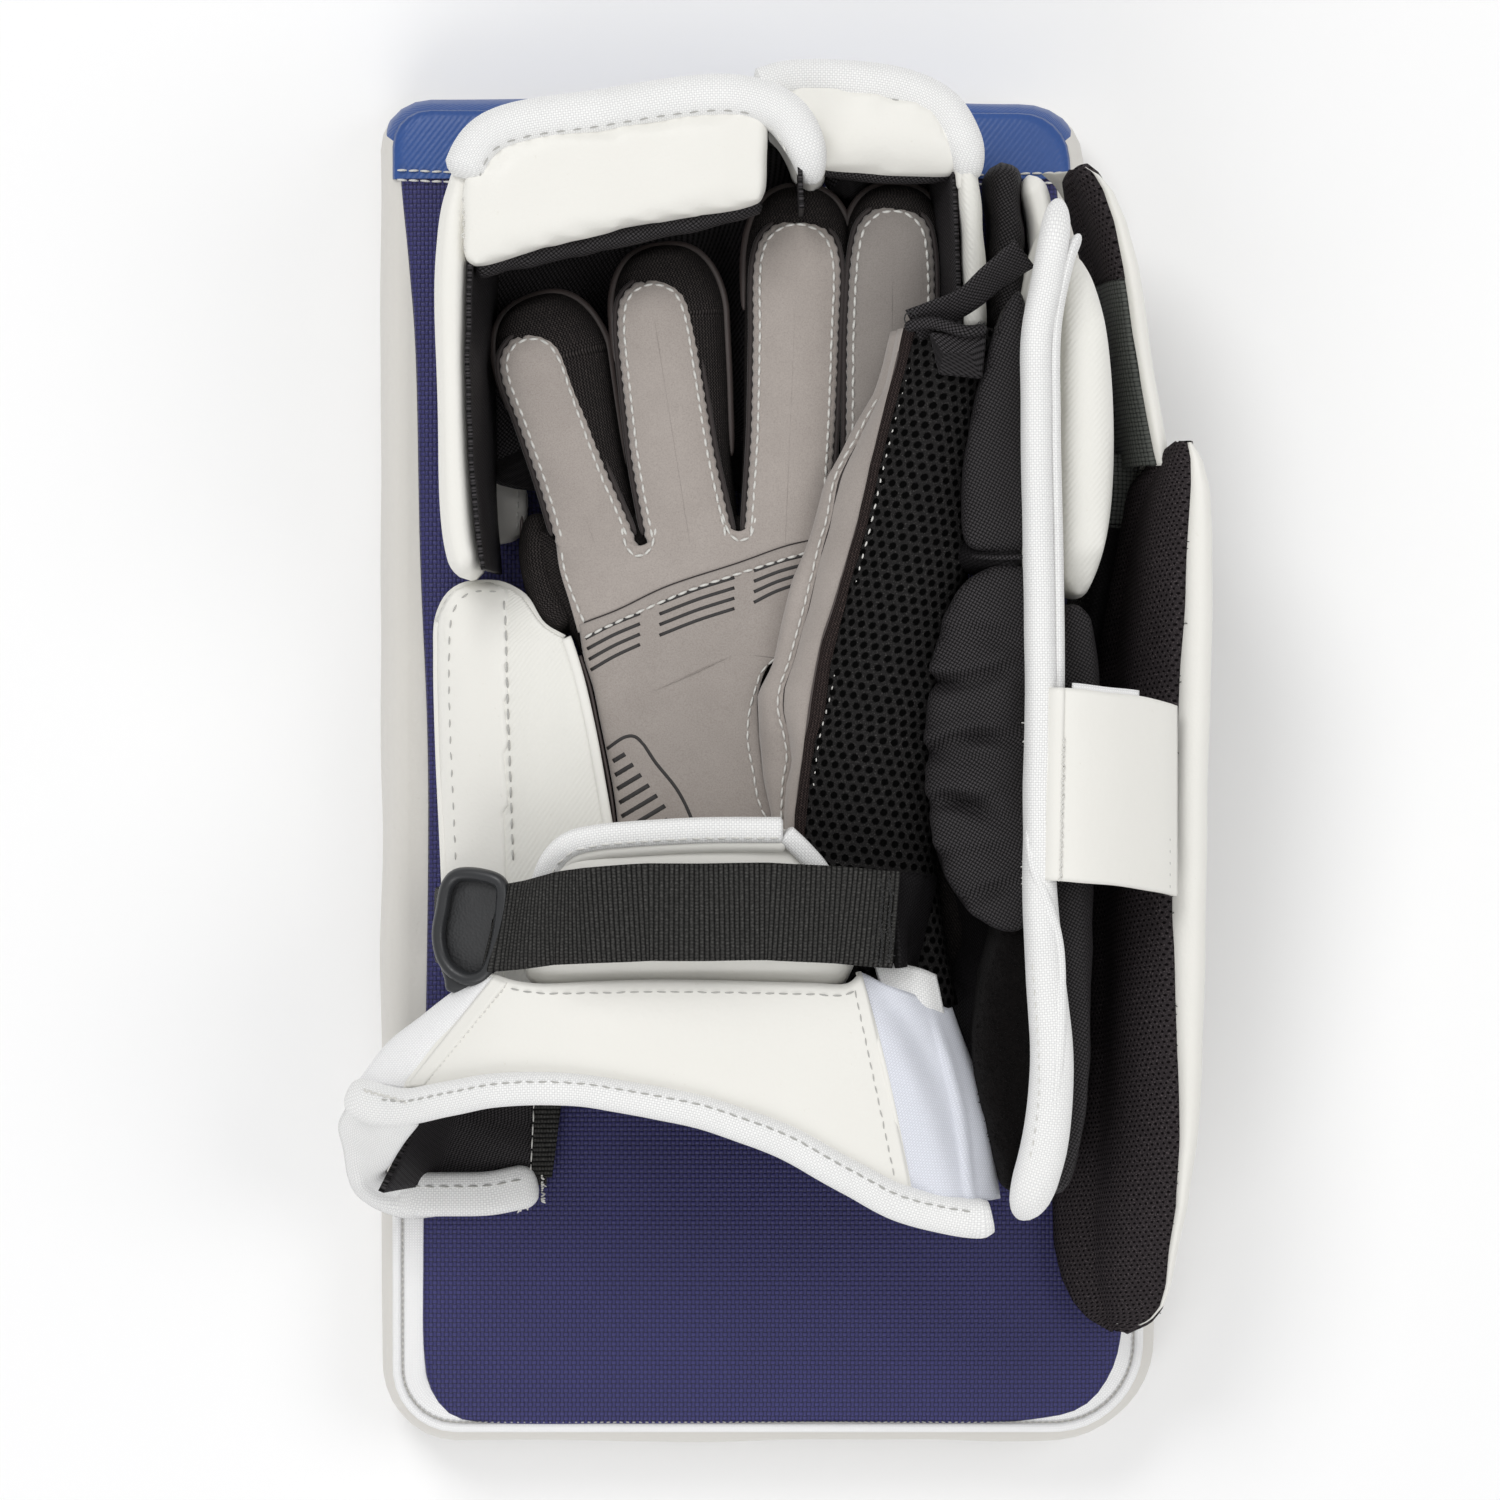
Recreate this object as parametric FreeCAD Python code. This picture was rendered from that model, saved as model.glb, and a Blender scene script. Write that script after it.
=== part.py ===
"""Ice hockey goalie blocker for the right hand, lying on its board with the palm side up.

Frame: millimetres, +Z out of the palm, +Y to the fingertips, +X to the thumb.
The origin is the centre of the board's flat front face, which the blocker rests on.
Every node is one STEP file of closed solids in parts/.
"""

import FreeCAD, Part
import os
from math import sin, tan

V = FreeCAD.Vector

# ---- driving dimensions ----
HALF_WIDTH = 102.0  # the board is 8 in wide and 14 in long
BOTTOM_Y = -178.0
TOP_Y = 178.0
TOP_RIGHT_X = 82.0  # the thumb edge leans in towards the top
SKIN = 1.5  # leather over foam
FIT = 0.3  # gap between sewn neighbours
FACE_BEVEL = 4.0
CORE_Z = (3.0, 27.0)
CORE_INSET = 7.5
STIFFENER_Z = (27.2, 29.0)
STIFFENER_INSET = 9.5
SKIN_TOP = 30.0
BACK_Z = (30.2, 32.0)
CAP_SEAM_Y = 157.0
BACK_INSET = 11.0
PIPING_WIDTH = 5.0
PIPING_TOP_Y = -105.0

SHARP = 1.0  # corner radius of a cut
WEBBING_EDGE = 0.8  # corner radius of webbing and thin straps
ABOVE_ALL = 150.0

PAD_Z = (32.2, 44.0)  # foam under the back of the hand
PAD_CORNER = 12.0
HAND_Z = (44.3, 75.0)
PALM_Z = (75.2, 77.2)
HEEL_Z = (92.0, 94.5)
LEATHER = 2.0
KNUCKLE_Y = 52.0
WRIST_END_Y = -95.0
PALM_END_Y = -70.0
WRIST_PANEL_Y = (-28.0, 45.0)
KEEPER_Y = (-50.0, -30.0)
INNER_PAD_TOP = 70.0
INNER_COVER_TOP = 66.0

FINGER_ROOT_Y = 56.5
FINGER_Z = (54.0, 74.0)
FACING_Z = (74.2, 75.4)
FACING_MARGIN = 1.5
STALL_CORNER = 5.0
STALL_MOUTH_MARGIN = 4.0
HOOD_FLOOR_Z = (46.0, 52.0)
HOOD_TOP = 103.0
HOOD_NEAR_Y = 48.5
HOOD_CORNER = 8.0
HOOD_LINER_FROM_Y = 50.0
LIP_CORNER = 4.0
LIP_Z = (93.0, 104.0)
INDEX_TOP = 88.0
INDEX_LIP_Z = (82.0, 92.0)
INDEX_WALL_Z = (50.0, INDEX_TOP)
INDEX_CORNER = 3.0

THUMB_Z = 79.0  # underside of the thumb at its root
THUMB_HEIGHT = 16.0
THUMB_RISE = 13.0
THUMB_Y = (-13.0, 113.0)
THUMB_CORNER = 2.5
PULL_TAB_Z = (102.0, 112.0)
PULL_TAB_THICK = 3.0

GUARD_X = (66.0, 74.0)
GUARD_TOP = 117.5
GUARD_CORNER = 6.0
GUARD_PAD_CORNER = 5.0
UPPER_PAD_X = 57.5
LOWER_PAD_X = 51.5
LOOP_PATCH = ((-107.0, -46.0), (50.0, 105.0))  # its reach in y and in z
LOOP_PATCH_X = 62.0
OUTER_PAD_Y = (43.0, 129.0)
BRIDGE_Y = (-30.0, 20.0)
BRIDGE_THICK = 1.8
GUARD_LINING = 3.0
PIPING = 3.0
CUFF_SEAM_Y = -54.4
CUFF_SHELL = 3.0
CUFF_LINING = 2.2
ROLL_Y = (-54.0, -14.0)
STRAP_Y = (-50.0, -25.5)
STRAP_THICK = 2.0
STRAP_END_X = 32.5
RING_BAR = V(-70, 0, 100)
RING_BAR_R = 2.0
RING_EYE = (2.5, 4.3)  # inner and outer radius of the webbing's eye round the bar
RING_SLOPE = 30.0
RING_THICK = 4.0
RING_REACH = 15.0  # from the bar to the far side of the frame
RING_SIDE = 3.7
RING_FAR_SIDE = 4.0


# ---- shape helpers ----
def in_xy(a, b):
    return V(a, b, 0)


def in_xz(a, b):
    return V(a, 0, b)


def in_yz(a, b):
    return V(0, a, b)


def rounded_wire(points, radius, place):
    """A closed wire through the points, with each corner an arc that its two sides allow."""
    corners = [V(a, b, 0) for a, b in points]
    arcs = []
    for i, corner in enumerate(corners):
        back = corners[i - 1] - corner
        ahead = corners[(i + 1) % len(corners)] - corner
        half = back.getAngle(ahead) / 2
        reach = min(radius / tan(half), 0.45 * back.Length, 0.45 * ahead.Length)
        arc_radius = reach * tan(half)
        start = corner + back.normalize() * reach
        end = corner + ahead.normalize() * reach
        inward = (start + end) * 0.5 - corner
        middle = corner + inward.normalize() * (arc_radius / sin(half) - arc_radius)
        arcs.append([place(p.x, p.y) for p in (start, middle, end)])
    edges = []
    for i, arc in enumerate(arcs):
        edges.append(Part.Arc(*arc).toShape())
        edges.append(Part.LineSegment(arc[2], arcs[(i + 1) % len(arcs)][0]).toShape())
    return Part.Wire(edges)


def outline(points, z, radius=3.0):
    """A flat face in a level plane."""
    face = Part.Face(rounded_wire(points, radius, in_xy))
    face.translate(V(0, 0, z))
    return face


def plate(points, z_range, radius=3.0):
    """A plan outline raised through z_range."""
    return outline(points, z_range[0], radius).extrude(V(0, 0, z_range[1] - z_range[0]))


def slab(points, y_range, radius=2.0):
    """An outline in the X-Z plane carried along Y."""
    face = Part.Face(rounded_wire(points, radius, in_xz))
    face.translate(V(0, y_range[0], 0))
    return face.extrude(V(0, y_range[1] - y_range[0], 0))


def wall(points, x_range, radius=2.0):
    """An outline in the Y-Z plane carried along X."""
    face = Part.Face(rounded_wire(points, radius, in_yz))
    face.translate(V(x_range[0], 0, 0))
    return face.extrude(V(x_range[1] - x_range[0], 0, 0))


def block(x_range, y_range, z_range, radius=2.0):
    """A box with its upright edges rounded."""
    corners = [(x, y) for x in x_range for y in y_range]
    return plate([corners[0], corners[2], corners[3], corners[1]], z_range, radius)


def band(points, first, last):
    """The strip between two offsets from an open line of points; positive is to its left."""
    corners = [V(a, b, 0) for a, b in points]
    normals = []
    for start, end in zip(corners, corners[1:]):
        along = (end - start).normalize()
        normals.append(V(-along.y, along.x, 0))
    sides = {first: [], last: []}
    for i, corner in enumerate(corners):
        before = normals[max(i - 1, 0)]
        after = normals[min(i, len(normals) - 1)]
        mitre = (before + after) * (1 / (1 + before.dot(after)))
        for offset, side in sides.items():
            side.append((corner.x + mitre.x * offset, corner.y + mitre.y * offset))
    return sides[first] + sides[last][::-1]


def save(shape, node):
    shape.exportStep("parts/" + node + ".step")


# ---- the board ----
BOARD = [
    (-HALF_WIDTH, TOP_Y),
    (TOP_RIGHT_X, TOP_Y),
    (HALF_WIDTH, -130),
    (HALF_WIDTH, BOTTOM_Y),
    (-HALF_WIDTH, BOTTOM_Y),
]
BOARD_CORNER = 22.0


def board_level(z, inset):
    face = outline(BOARD, z, BOARD_CORNER)
    return face.makeOffset2D(-inset).OuterWire if inset else face.OuterWire


def board_skin():
    """Leather round the board's sides and front, bevelled there and drawn in at its back."""
    side_top = SKIN_TOP - FACE_BEVEL * 2
    outside = [(0, FACE_BEVEL), (FACE_BEVEL, 0), (side_top, 0), (SKIN_TOP, FACE_BEVEL)]
    inside = [
        (SKIN, FACE_BEVEL + SKIN),
        (FACE_BEVEL, SKIN),
        (side_top, SKIN),
        (SKIN_TOP + SKIN, FACE_BEVEL + SKIN * 2),
    ]
    solids = []
    for levels in (outside, inside):
        solids.append(Part.makeLoft([board_level(z, inset) for z, inset in levels], True, True))
    return solids[0].cut(solids[1])


def between_y(low, high):
    reach = 2 * TOP_Y
    return block((-reach, reach), (low, high), (-reach, reach))


def board_layer(z_range, inset):
    face = outline(BOARD, z_range[0], BOARD_CORNER).makeOffset2D(-inset)
    return face.extrude(V(0, 0, z_range[1] - z_range[0]))


def make_board():
    below_seam = between_y(-2 * TOP_Y, CAP_SEAM_Y - FIT)
    above_seam = between_y(CAP_SEAM_Y, 2 * TOP_Y)
    skin = board_skin()
    save(board_layer(CORE_Z, CORE_INSET), "foam_core")
    save(board_layer(STIFFENER_Z, STIFFENER_INSET), "stiffener_plate")
    save(skin.common(below_seam), "board_face_skin")
    cap_back = board_layer((SKIN_TOP - FIT, BACK_Z[1] - FIT), FACE_BEVEL + FIT)
    save(skin.fuse(cap_back).common(above_seam), "board_top_cap")
    save(board_layer(BACK_Z, BACK_INSET).common(below_seam), "board_back_cover")
    piping = board_layer(BACK_Z, BACK_INSET - PIPING_WIDTH).cut(board_layer(BACK_Z, BACK_INSET - FIT))
    save(piping.common(between_y(-2 * TOP_Y, PIPING_TOP_Y)), "board_bottom_piping")


# ---- the glove's hand, sewn to the board ----
def hand_outline(end_y):
    """The hand seen from the palm side, from the knuckles down to a line across the wrist."""
    left = [(-53, KNUCKLE_Y), (-49, 34), (-40, -15), (-38, end_y)]
    return left + [(38, end_y), (40, -15), (42, 30), (43, KNUCKLE_Y)]


def make_hand():
    save(block((-48, 62), (WRIST_END_Y - 5, KNUCKLE_Y), PAD_Z, PAD_CORNER), "hand_base_pad")
    outer = outline(hand_outline(WRIST_END_Y), HAND_Z[0])
    hand = outer.extrude(V(0, 0, HAND_Z[1] - HAND_Z[0]))
    inner = outer.makeOffset2D(-LEATHER)
    inner.translate(V(0, 0, LEATHER))
    hollow = inner.extrude(V(0, 0, HAND_Z[1]))
    open_z = (HAND_Z[0] + LEATHER, HAND_Z[1] + LEATHER)
    mouth = block((-36, 36), (WRIST_END_Y - 5, WRIST_END_Y + 15), open_z, SHARP)
    knuckles = block((-46, 40), (KNUCKLE_Y - 12, KNUCKLE_Y + 8), open_z, SHARP)
    save(hand.cut(hollow).cut(mouth).cut(knuckles), "glove_hand_shell")
    save(plate(hand_outline(PALM_END_Y), PALM_Z), "palm_panel")
    heel = [(6, -58), (37, -58), (37, -13.2), (5, -13.2)]
    save(plate(heel, HEEL_Z), "thumb_heel_panel")
    side = [(-86, 32.3), (-79, 32.3), (-78, 50), (-58, 70), (-54, 73), (-54, 79), (-62, 78), (-86, 56)]
    save(slab(side, WRIST_PANEL_Y, 4), "wrist_side_panel")
    save(plate([(-76, 60), (-64, 60), (-63, 74), (-75, 74)], PAD_Z), "hood_anchor_tab")
    keeper = band([(-90, 33), (-88, 60), (-80, 84)], 0, -STRAP_THICK)
    save(slab(keeper, KEEPER_Y, WEBBING_EDGE), "keeper_webbing")


def make_inner_side_pad():
    """The black and white pad that stands on the board beside the index finger."""
    save(block((57.3, 64.8), (95, 158), (PAD_Z[0], INNER_PAD_TOP), 3), "inner_side_pad")
    save(block((65, 72), (92, 154), (PAD_Z[0], INNER_COVER_TOP), 3), "inner_side_pad_cover")


# ---- the hood over the three fingers ----
HOOD = [
    (-80, HOOD_NEAR_Y),
    (-84, 57),
    (-86, 94),
    (-84, 144),
    (-75, 165),
    (-42, 171),
    (-7, 175),
    (12, 168),
    (12, HOOD_NEAR_Y),
]
HOOD_CAVITY = [(-75.5, 20), (-75.5, 140), (-70, 159), (-40, 164), (-6, 167), (30, 158), (30, 20)]


def finger_hood_cavity(inset, z_range):
    face = outline(HOOD_CAVITY, z_range[0], HOOD_CORNER)
    inner = face.makeOffset2D(-inset) if inset else face
    return inner.extrude(V(0, 0, z_range[1] - z_range[0]))


def make_finger_hood():
    body = plate(HOOD, (HOOD_FLOOR_Z[0], HOOD_TOP), HOOD_CORNER)
    body = body.cut(finger_hood_cavity(0, (HOOD_FLOOR_Z[1], HOOD_TOP + 1)))
    save(body.cut(block((-74, 60), (0, FINGER_ROOT_Y), (0, ABOVE_ALL), SHARP)), "finger_hood_shell")
    liner_z = (HOOD_FLOOR_Z[1] + FIT, LIP_Z[0] - FIT)
    liner = finger_hood_cavity(FIT, liner_z).cut(finger_hood_cavity(LEATHER, liner_z))
    liner = liner.common(block((-80, -6), (HOOD_LINER_FROM_Y, TOP_Y), liner_z))
    save(liner, "finger_hood_liner")
    lip = [(-74.8, 131), (-74.8, 139), (-68.5, 155), (-40, 162.5), (-9, 165), (-9, 143)]
    save(plate(lip, LIP_Z, LIP_CORNER), "finger_hood_lip")
    rim = plate(HOOD, (HOOD_TOP + FIT, HOOD_TOP + PIPING), HOOD_CORNER)
    rim = rim.cut(finger_hood_cavity(-1, (HOOD_TOP, HOOD_TOP + 2 * PIPING)))
    kept = block((-HALF_WIDTH, 12), (HOOD_NEAR_Y - PIPING, TOP_Y + PIPING), (0, ABOVE_ALL), SHARP)
    save(rim.common(kept), "finger_hood_binding")


# ---- finger stalls ----
FINGERS = {
    "pinky": [
        (-53, 56.5), (-58, 72), (-69, 104), (-66, 112),
        (-56, 112), (-51, 106), (-43, 84), (-34, 56.5),
    ],
    "ring": [
        (-31, 56.5), (-35, 82), (-39, 116), (-35, 126),
        (-24, 126), (-19.5, 118), (-15, 92), (-9, 56.5),
    ],
    "middle": [
        (-6, 56.5), (-4, 95), (-4, 132), (1, 147),
        (13, 147), (18.3, 132), (17.5, 95), (14.5, 56.5),
    ],
    "index": [
        (20, 56.5), (21.5, 95), (22, 132), (27, 144),
        (37, 144), (42, 132), (43, 110), (42, 56.5),
    ],
}


def make_finger(name, points):
    outer = outline(points, FINGER_Z[0], STALL_CORNER)
    stall = outer.extrude(V(0, 0, FINGER_Z[1] - FINGER_Z[0]))
    hollow = outer.makeOffset2D(-LEATHER)
    hollow.translate(V(0, 0, LEATHER))
    hollow = hollow.extrude(V(0, 0, FINGER_Z[1] - FINGER_Z[0] - 2 * LEATHER))
    root_left, root_right = points[0][0], points[-1][0]
    mouth_z = (FINGER_Z[0] + LEATHER, FINGER_Z[1] - LEATHER)
    mouth_x = (root_left + STALL_MOUTH_MARGIN, root_right - STALL_MOUTH_MARGIN)
    mouth = block(mouth_x, (FINGER_ROOT_Y - 5, FINGER_ROOT_Y + 12), mouth_z, SHARP)
    trimmed = between_y(FINGER_ROOT_Y, TOP_Y)
    save(stall.cut(hollow).cut(mouth).common(trimmed), name + "_stall")
    facing = outline(points, FACING_Z[0], STALL_CORNER).makeOffset2D(-FACING_MARGIN)
    save(facing.extrude(V(0, 0, FACING_Z[1] - FACING_Z[0])), name + "_facing")


# ---- the hood over the index finger ----
def make_index_hood():
    floor = plate([(20, 56.5), (56, 56.5), (56, 162), (50, 174), (20, 174)], HOOD_FLOOR_Z, GUARD_CORNER)
    side = block((50, 56), (116, 170), (HOOD_FLOOR_Z[0], INDEX_TOP))
    outside = [(57, 168), (50, 176), (34, 179), (14, 180)]
    top = plate([(14, 169), (50, 169), (57, 164)] + outside, INDEX_WALL_Z, INDEX_CORNER)
    save(floor.fuse([side, top]), "index_hood_shell")
    lip = [(15, 153), (49, 155), (49, 164), (44, 168.5), (15, 168.5)]
    save(plate(lip, INDEX_LIP_Z, INDEX_CORNER), "index_hood_lip")
    rim = [(14, 169), (50, 169), (50, 116), (57, 116)] + outside
    save(plate(rim, (INDEX_TOP + FIT, INDEX_TOP + PIPING), INDEX_CORNER), "index_hood_binding")


# ---- the thumb ----
THUMB = [
    (5, -12.5),
    (8, 38),
    (12, 53),
    (19.5, 74),
    (30, 94),
    (36, 112),
    (54, 108),
    (50.5, 90),
    (50.5, 56),
    (40, 33),
    (37.3, -12.5),
]
THUMB_MESH = [
    (11, -12),
    (16, 33),
    (20, 54),
    (24, 73),
    (31, 93),
    (36, 111),
    (54, 107.5),
    (50, 90),
    (50, 56),
    (40, 33),
    (37, -12),
]
THUMB_FACING = [
    (5, -12),
    (8, 38),
    (12, 53),
    (19.5, 74),
    (30, 94),
    (30.5, 93.5),
    (23.5, 73),
    (19.5, 54),
    (15.5, 33),
    (10.5, -12),
]


def thumb_layer(points, low, high):
    """A plan outline between two levels that rise with the thumb towards its tip."""
    root, tip = THUMB_Y
    tip_z = THUMB_Z + THUMB_RISE
    sides = [(root, THUMB_Z + low), (tip, tip_z + low), (tip, tip_z + high), (root, THUMB_Z + high)]
    between = wall(sides, (-HALF_WIDTH, HALF_WIDTH), FIT / 3)
    return plate(points, (0, ABOVE_ALL), THUMB_CORNER).common(between)


def make_thumb():
    edge = outline(THUMB, 0, THUMB_CORNER).makeOffset2D(-LEATHER).OuterWire
    inner = Part.Face(edge).extrude(V(0, 0, ABOVE_ALL))
    inner = inner.common(thumb_layer(THUMB, LEATHER, THUMB_HEIGHT - LEATHER))
    mouth_z = (THUMB_Z + LEATHER, THUMB_Z + THUMB_HEIGHT - LEATHER)
    mouth = block((9, 33), (THUMB_Y[0] - 7, 5), mouth_z, SHARP)
    save(thumb_layer(THUMB, 0, THUMB_HEIGHT).cut(inner).cut(mouth), "thumb_stall")
    cover = (THUMB_HEIGHT + FIT, THUMB_HEIGHT + LEATHER)
    save(thumb_layer(THUMB_MESH, *cover), "thumb_mesh_panel")
    save(thumb_layer(THUMB_FACING, *cover), "thumb_facing")
    tab = band([(36, 113.5), (47, 118), (56, 125), (64, 133)], -PULL_TAB_THICK / 2, PULL_TAB_THICK / 2)
    save(plate(tab, PULL_TAB_Z, SHARP), "pull_tab")


# ---- the guard beside the thumb ----
GUARD_RIM = [(-113, 58), (-113, 108), (-100, GUARD_TOP), (130, GUARD_TOP), (142, 106), (140, 84)]


def make_thumb_guard():
    core = [(-113, 58), (-105, 37), (86, 37), (90, 78), (138, 78)]
    core += GUARD_RIM[:0:-1]
    save(wall(core, GUARD_X, GUARD_CORNER), "thumb_guard_core")
    inside = GUARD_X[0] - FIT
    upper = [(53.6, 74), (116, 74), (122, 84), (122, 104), (114, 112), (53.6, 112)]
    save(wall(upper, (UPPER_PAD_X, inside), GUARD_PAD_CORNER), "thumb_guard_upper_pad")
    lower = [(-45, 50), (53, 50), (53, 112), (-40, 112), (-45, 104)]
    save(wall(lower, (LOWER_PAD_X, inside), GUARD_PAD_CORNER), "thumb_guard_lower_pad")
    save(block((LOOP_PATCH_X, inside), *LOOP_PATCH), "thumb_loop_patch")
    outside = GUARD_X[1] + FIT
    pad = [(outside, 60), (77, 60), (88, 92), (86, 108), (outside, 116)]
    save(slab(pad, OUTER_PAD_Y, 3), "thumb_guard_outer_pad")
    piping = band(GUARD_RIM, FIT, PIPING)
    save(wall(piping, (GUARD_X[0] - 1.5, GUARD_X[1] + 2.5), 1), "thumb_guard_binding")
    over = GUARD_TOP + PIPING + FIT
    strap = band([(66, over), (78, over), (116, 98)], 0, BRIDGE_THICK)
    save(slab(strap, BRIDGE_Y, WEBBING_EDGE), "bridge_strap")


def side_guard(profile, rim, y_range, node):
    """One padded guard leaning out over the board's thumb edge, with its lining."""
    shape = wall(rim, (0, 2 * HALF_WIDTH), GUARD_CORNER)
    save(slab(profile, y_range, 3).common(shape), node)
    inner_low, inner_high = profile[0], profile[-1]
    lining = band([inner_low, inner_high], FIT, GUARD_LINING)
    save(slab(lining, y_range, 1).common(shape), node + "_liner")


def make_side_guards():
    rim = [(-140, 38), (-146, 50), (-133, 68), (-108, 82), (-58, 96)]
    rim += [(64, 96), (80, 84), (83, 60), (80, 38)]
    profile = [(89, 38), (96, 38), (114, 90), (112, 96), (106, 93)]
    side_guard(profile, rim, (-150, 90), "lower_side_guard")
    rim = [(84.5, 38), (84.5, 80), (98, 84), (128, 78), (148, 64), (156, 46), (152, 38)]
    profile = [(81, 38), (89, 38), (102, 80), (100, 86), (94, 84)]
    side_guard(profile, rim, (80, 160), "upper_side_guard")


# ---- the cuff ----
CUFF_ARCH = [(-104, 56), (-107, 70), (-92, 86), (-70, 101), (-45, 110)]
CUFF_ARCH += [(-17, 114), (8, 112), (28, 107), (57, 95)]
CUFF_EDGE = [(-110, -106), (-102, -114), (-90, -97), (-72, -84), (-55, -79)]
CUFF_EDGE += [(-17, -84), (8, -94), (31, -108)]
CUFF_CORNER = (59, -118)
CUFF_HEM = 7.0


def cuff_layer(points, low, high, radius=1.0):
    """A plan outline taken out of the cuff's arch, between two depths below the arch."""
    arch = slab(band(CUFF_ARCH, low, high), (-125, -50), 1)
    return arch.common(plate(points, (40, 130), radius))


def make_cuff():
    hem_line = [(x, y + CUFF_HEM) for x, y in CUFF_EDGE]
    gusset_edge = [(31.3, -100.5), (57, -109.4)]
    palm = [(-72, CUFF_SEAM_Y), (-92, -80), (-111, -88)] + hem_line + [(22, CUFF_SEAM_Y)]
    gusset = [(22.3, CUFF_SEAM_Y)] + gusset_edge + [(58, -106), (49, -60)]
    save(cuff_layer(palm, -CUFF_SHELL, 0), "cuff_palm_shell")
    save(cuff_layer(gusset, -CUFF_SHELL, 0), "cuff_gusset")
    hem = CUFF_EDGE + [CUFF_CORNER, (58, -110.3), (31, -101.3)]
    hem += [(x, y - FIT) for x, y in hem_line[-2::-1]]
    save(cuff_layer(hem, -CUFF_SHELL - 1, 1), "cuff_binding")
    lining = [(-71, CUFF_SEAM_Y), (-92, -81), (-106, -88), (-104, -98)]
    lining += hem_line[2:] + [(55, -109), (48, -61)]
    under = -CUFF_SHELL - FIT
    save(cuff_layer(lining, under - CUFF_LINING, under), "cuff_lining")
    roll = [(-63, 97), (24, 97), (24, 102), (12, 107), (-5, 109.5), (-45, 108.5), (-58, 104)]
    save(slab(roll, ROLL_Y, 3), "cuff_roll_pad")
    tab = [(STRAP_END_X + 2, 104), (48, 98), (48, 103), (STRAP_END_X + 2, 109)]
    save(slab(tab, STRAP_Y, 1), "strap_anchor_tab")


def make_cuff_back():
    """The cuff's back half, sewn flat on the board and turned up at its little-finger side."""
    panel = band([(-100, 51), (-97, 42), (-88, 36), (-56, 36)], -2.5, 0)
    shape = plate([(-102, -100), (-90, -70), (-62, -64), (-60, -110), (-98, -110)], (30, 60), 4)
    save(slab(panel, (-112, -60), 1).common(shape), "cuff_back_panel")
    hem = band([(-100, 52), (-97, 42), (-88, 36), (-56, 36)], -3.5, 1)
    hem_plan = plate([(-102, -110.3), (-60, -110.3), (-58, -118), (-98, -118)], (30, 60), 2)
    save(slab(hem, (-120, -100), 1).common(hem_plan), "cuff_back_binding")


# ---- strap and ring ----
def y_tube(centre, radius, y_range):
    return Part.makeCylinder(radius, y_range[1] - y_range[0], centre + V(0, y_range[0], 0), V(0, 1, 0))


def make_strap():
    arch = [(STRAP_END_X, 108), (14, 112.5), (-12, 115.5), (-40, 114.5), (-60, 108.5), (-67.5, 103)]
    half = STRAP_THICK / 2
    webbing = slab(band(arch, -half, half), STRAP_Y, WEBBING_EDGE)
    eye = y_tube(RING_BAR, RING_EYE[1], STRAP_Y)
    bar_room = y_tube(RING_BAR, RING_EYE[0], STRAP_Y)
    save(webbing.fuse(eye).cut(bar_room), "wrist_strap")


def make_ring():
    y_range = (STRAP_Y[0] - RING_SIDE, STRAP_Y[1] + RING_SIDE)
    low, high = RING_BAR.z - RING_THICK / 2, RING_BAR.z + RING_THICK / 2
    right = RING_BAR.x + RING_BAR_R
    left = RING_BAR.x - RING_REACH
    frame = block((left, right), y_range, (low, high), 3)
    eye_left = left + RING_FAR_SIDE
    room_y = (STRAP_Y[0] - 0.5, STRAP_Y[1] + 0.5)
    frame = frame.cut(block((eye_left, right + 5), room_y, (low - 1, high + 1), 1))
    frame = frame.fuse(y_tube(RING_BAR, RING_BAR_R, y_range))
    save(frame.rotated(RING_BAR, V(0, 1, 0), -RING_SLOPE), "strap_ring")


os.makedirs("parts", exist_ok=True)
make_board()
make_hand()
make_inner_side_pad()
make_finger_hood()
for finger_name, finger_points in FINGERS.items():
    make_finger(finger_name, finger_points)
make_index_hood()
make_thumb()
make_thumb_guard()
make_side_guards()
make_cuff()
make_cuff_back()
make_strap()
make_ring()
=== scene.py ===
import math
import random

import bmesh
import bpy
import numpy as np
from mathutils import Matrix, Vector, noise
from mathutils.bvhtree import BVHTree


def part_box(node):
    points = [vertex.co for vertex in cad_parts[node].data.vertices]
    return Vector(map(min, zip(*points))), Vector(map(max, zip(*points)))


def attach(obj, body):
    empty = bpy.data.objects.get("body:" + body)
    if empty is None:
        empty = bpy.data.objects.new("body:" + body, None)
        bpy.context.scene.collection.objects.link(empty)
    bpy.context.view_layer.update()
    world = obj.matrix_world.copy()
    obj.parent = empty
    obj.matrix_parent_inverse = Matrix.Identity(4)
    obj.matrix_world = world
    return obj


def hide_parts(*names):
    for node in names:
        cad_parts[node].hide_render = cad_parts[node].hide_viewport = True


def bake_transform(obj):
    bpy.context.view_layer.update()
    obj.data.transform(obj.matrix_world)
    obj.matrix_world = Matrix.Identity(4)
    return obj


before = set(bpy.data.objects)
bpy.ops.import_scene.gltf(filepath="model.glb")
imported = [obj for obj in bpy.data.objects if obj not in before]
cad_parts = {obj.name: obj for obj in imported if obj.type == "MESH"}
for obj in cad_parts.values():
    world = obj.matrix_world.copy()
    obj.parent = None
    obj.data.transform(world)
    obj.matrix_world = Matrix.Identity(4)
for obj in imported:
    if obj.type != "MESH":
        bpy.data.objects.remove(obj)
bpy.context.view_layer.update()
MM = 0.001  # a millimetre, in metres
UP = Vector((0, 0, 1))
PI = math.pi
CURVE_STEPS = 12  # points to each span of a curve or each rounded corner
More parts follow.
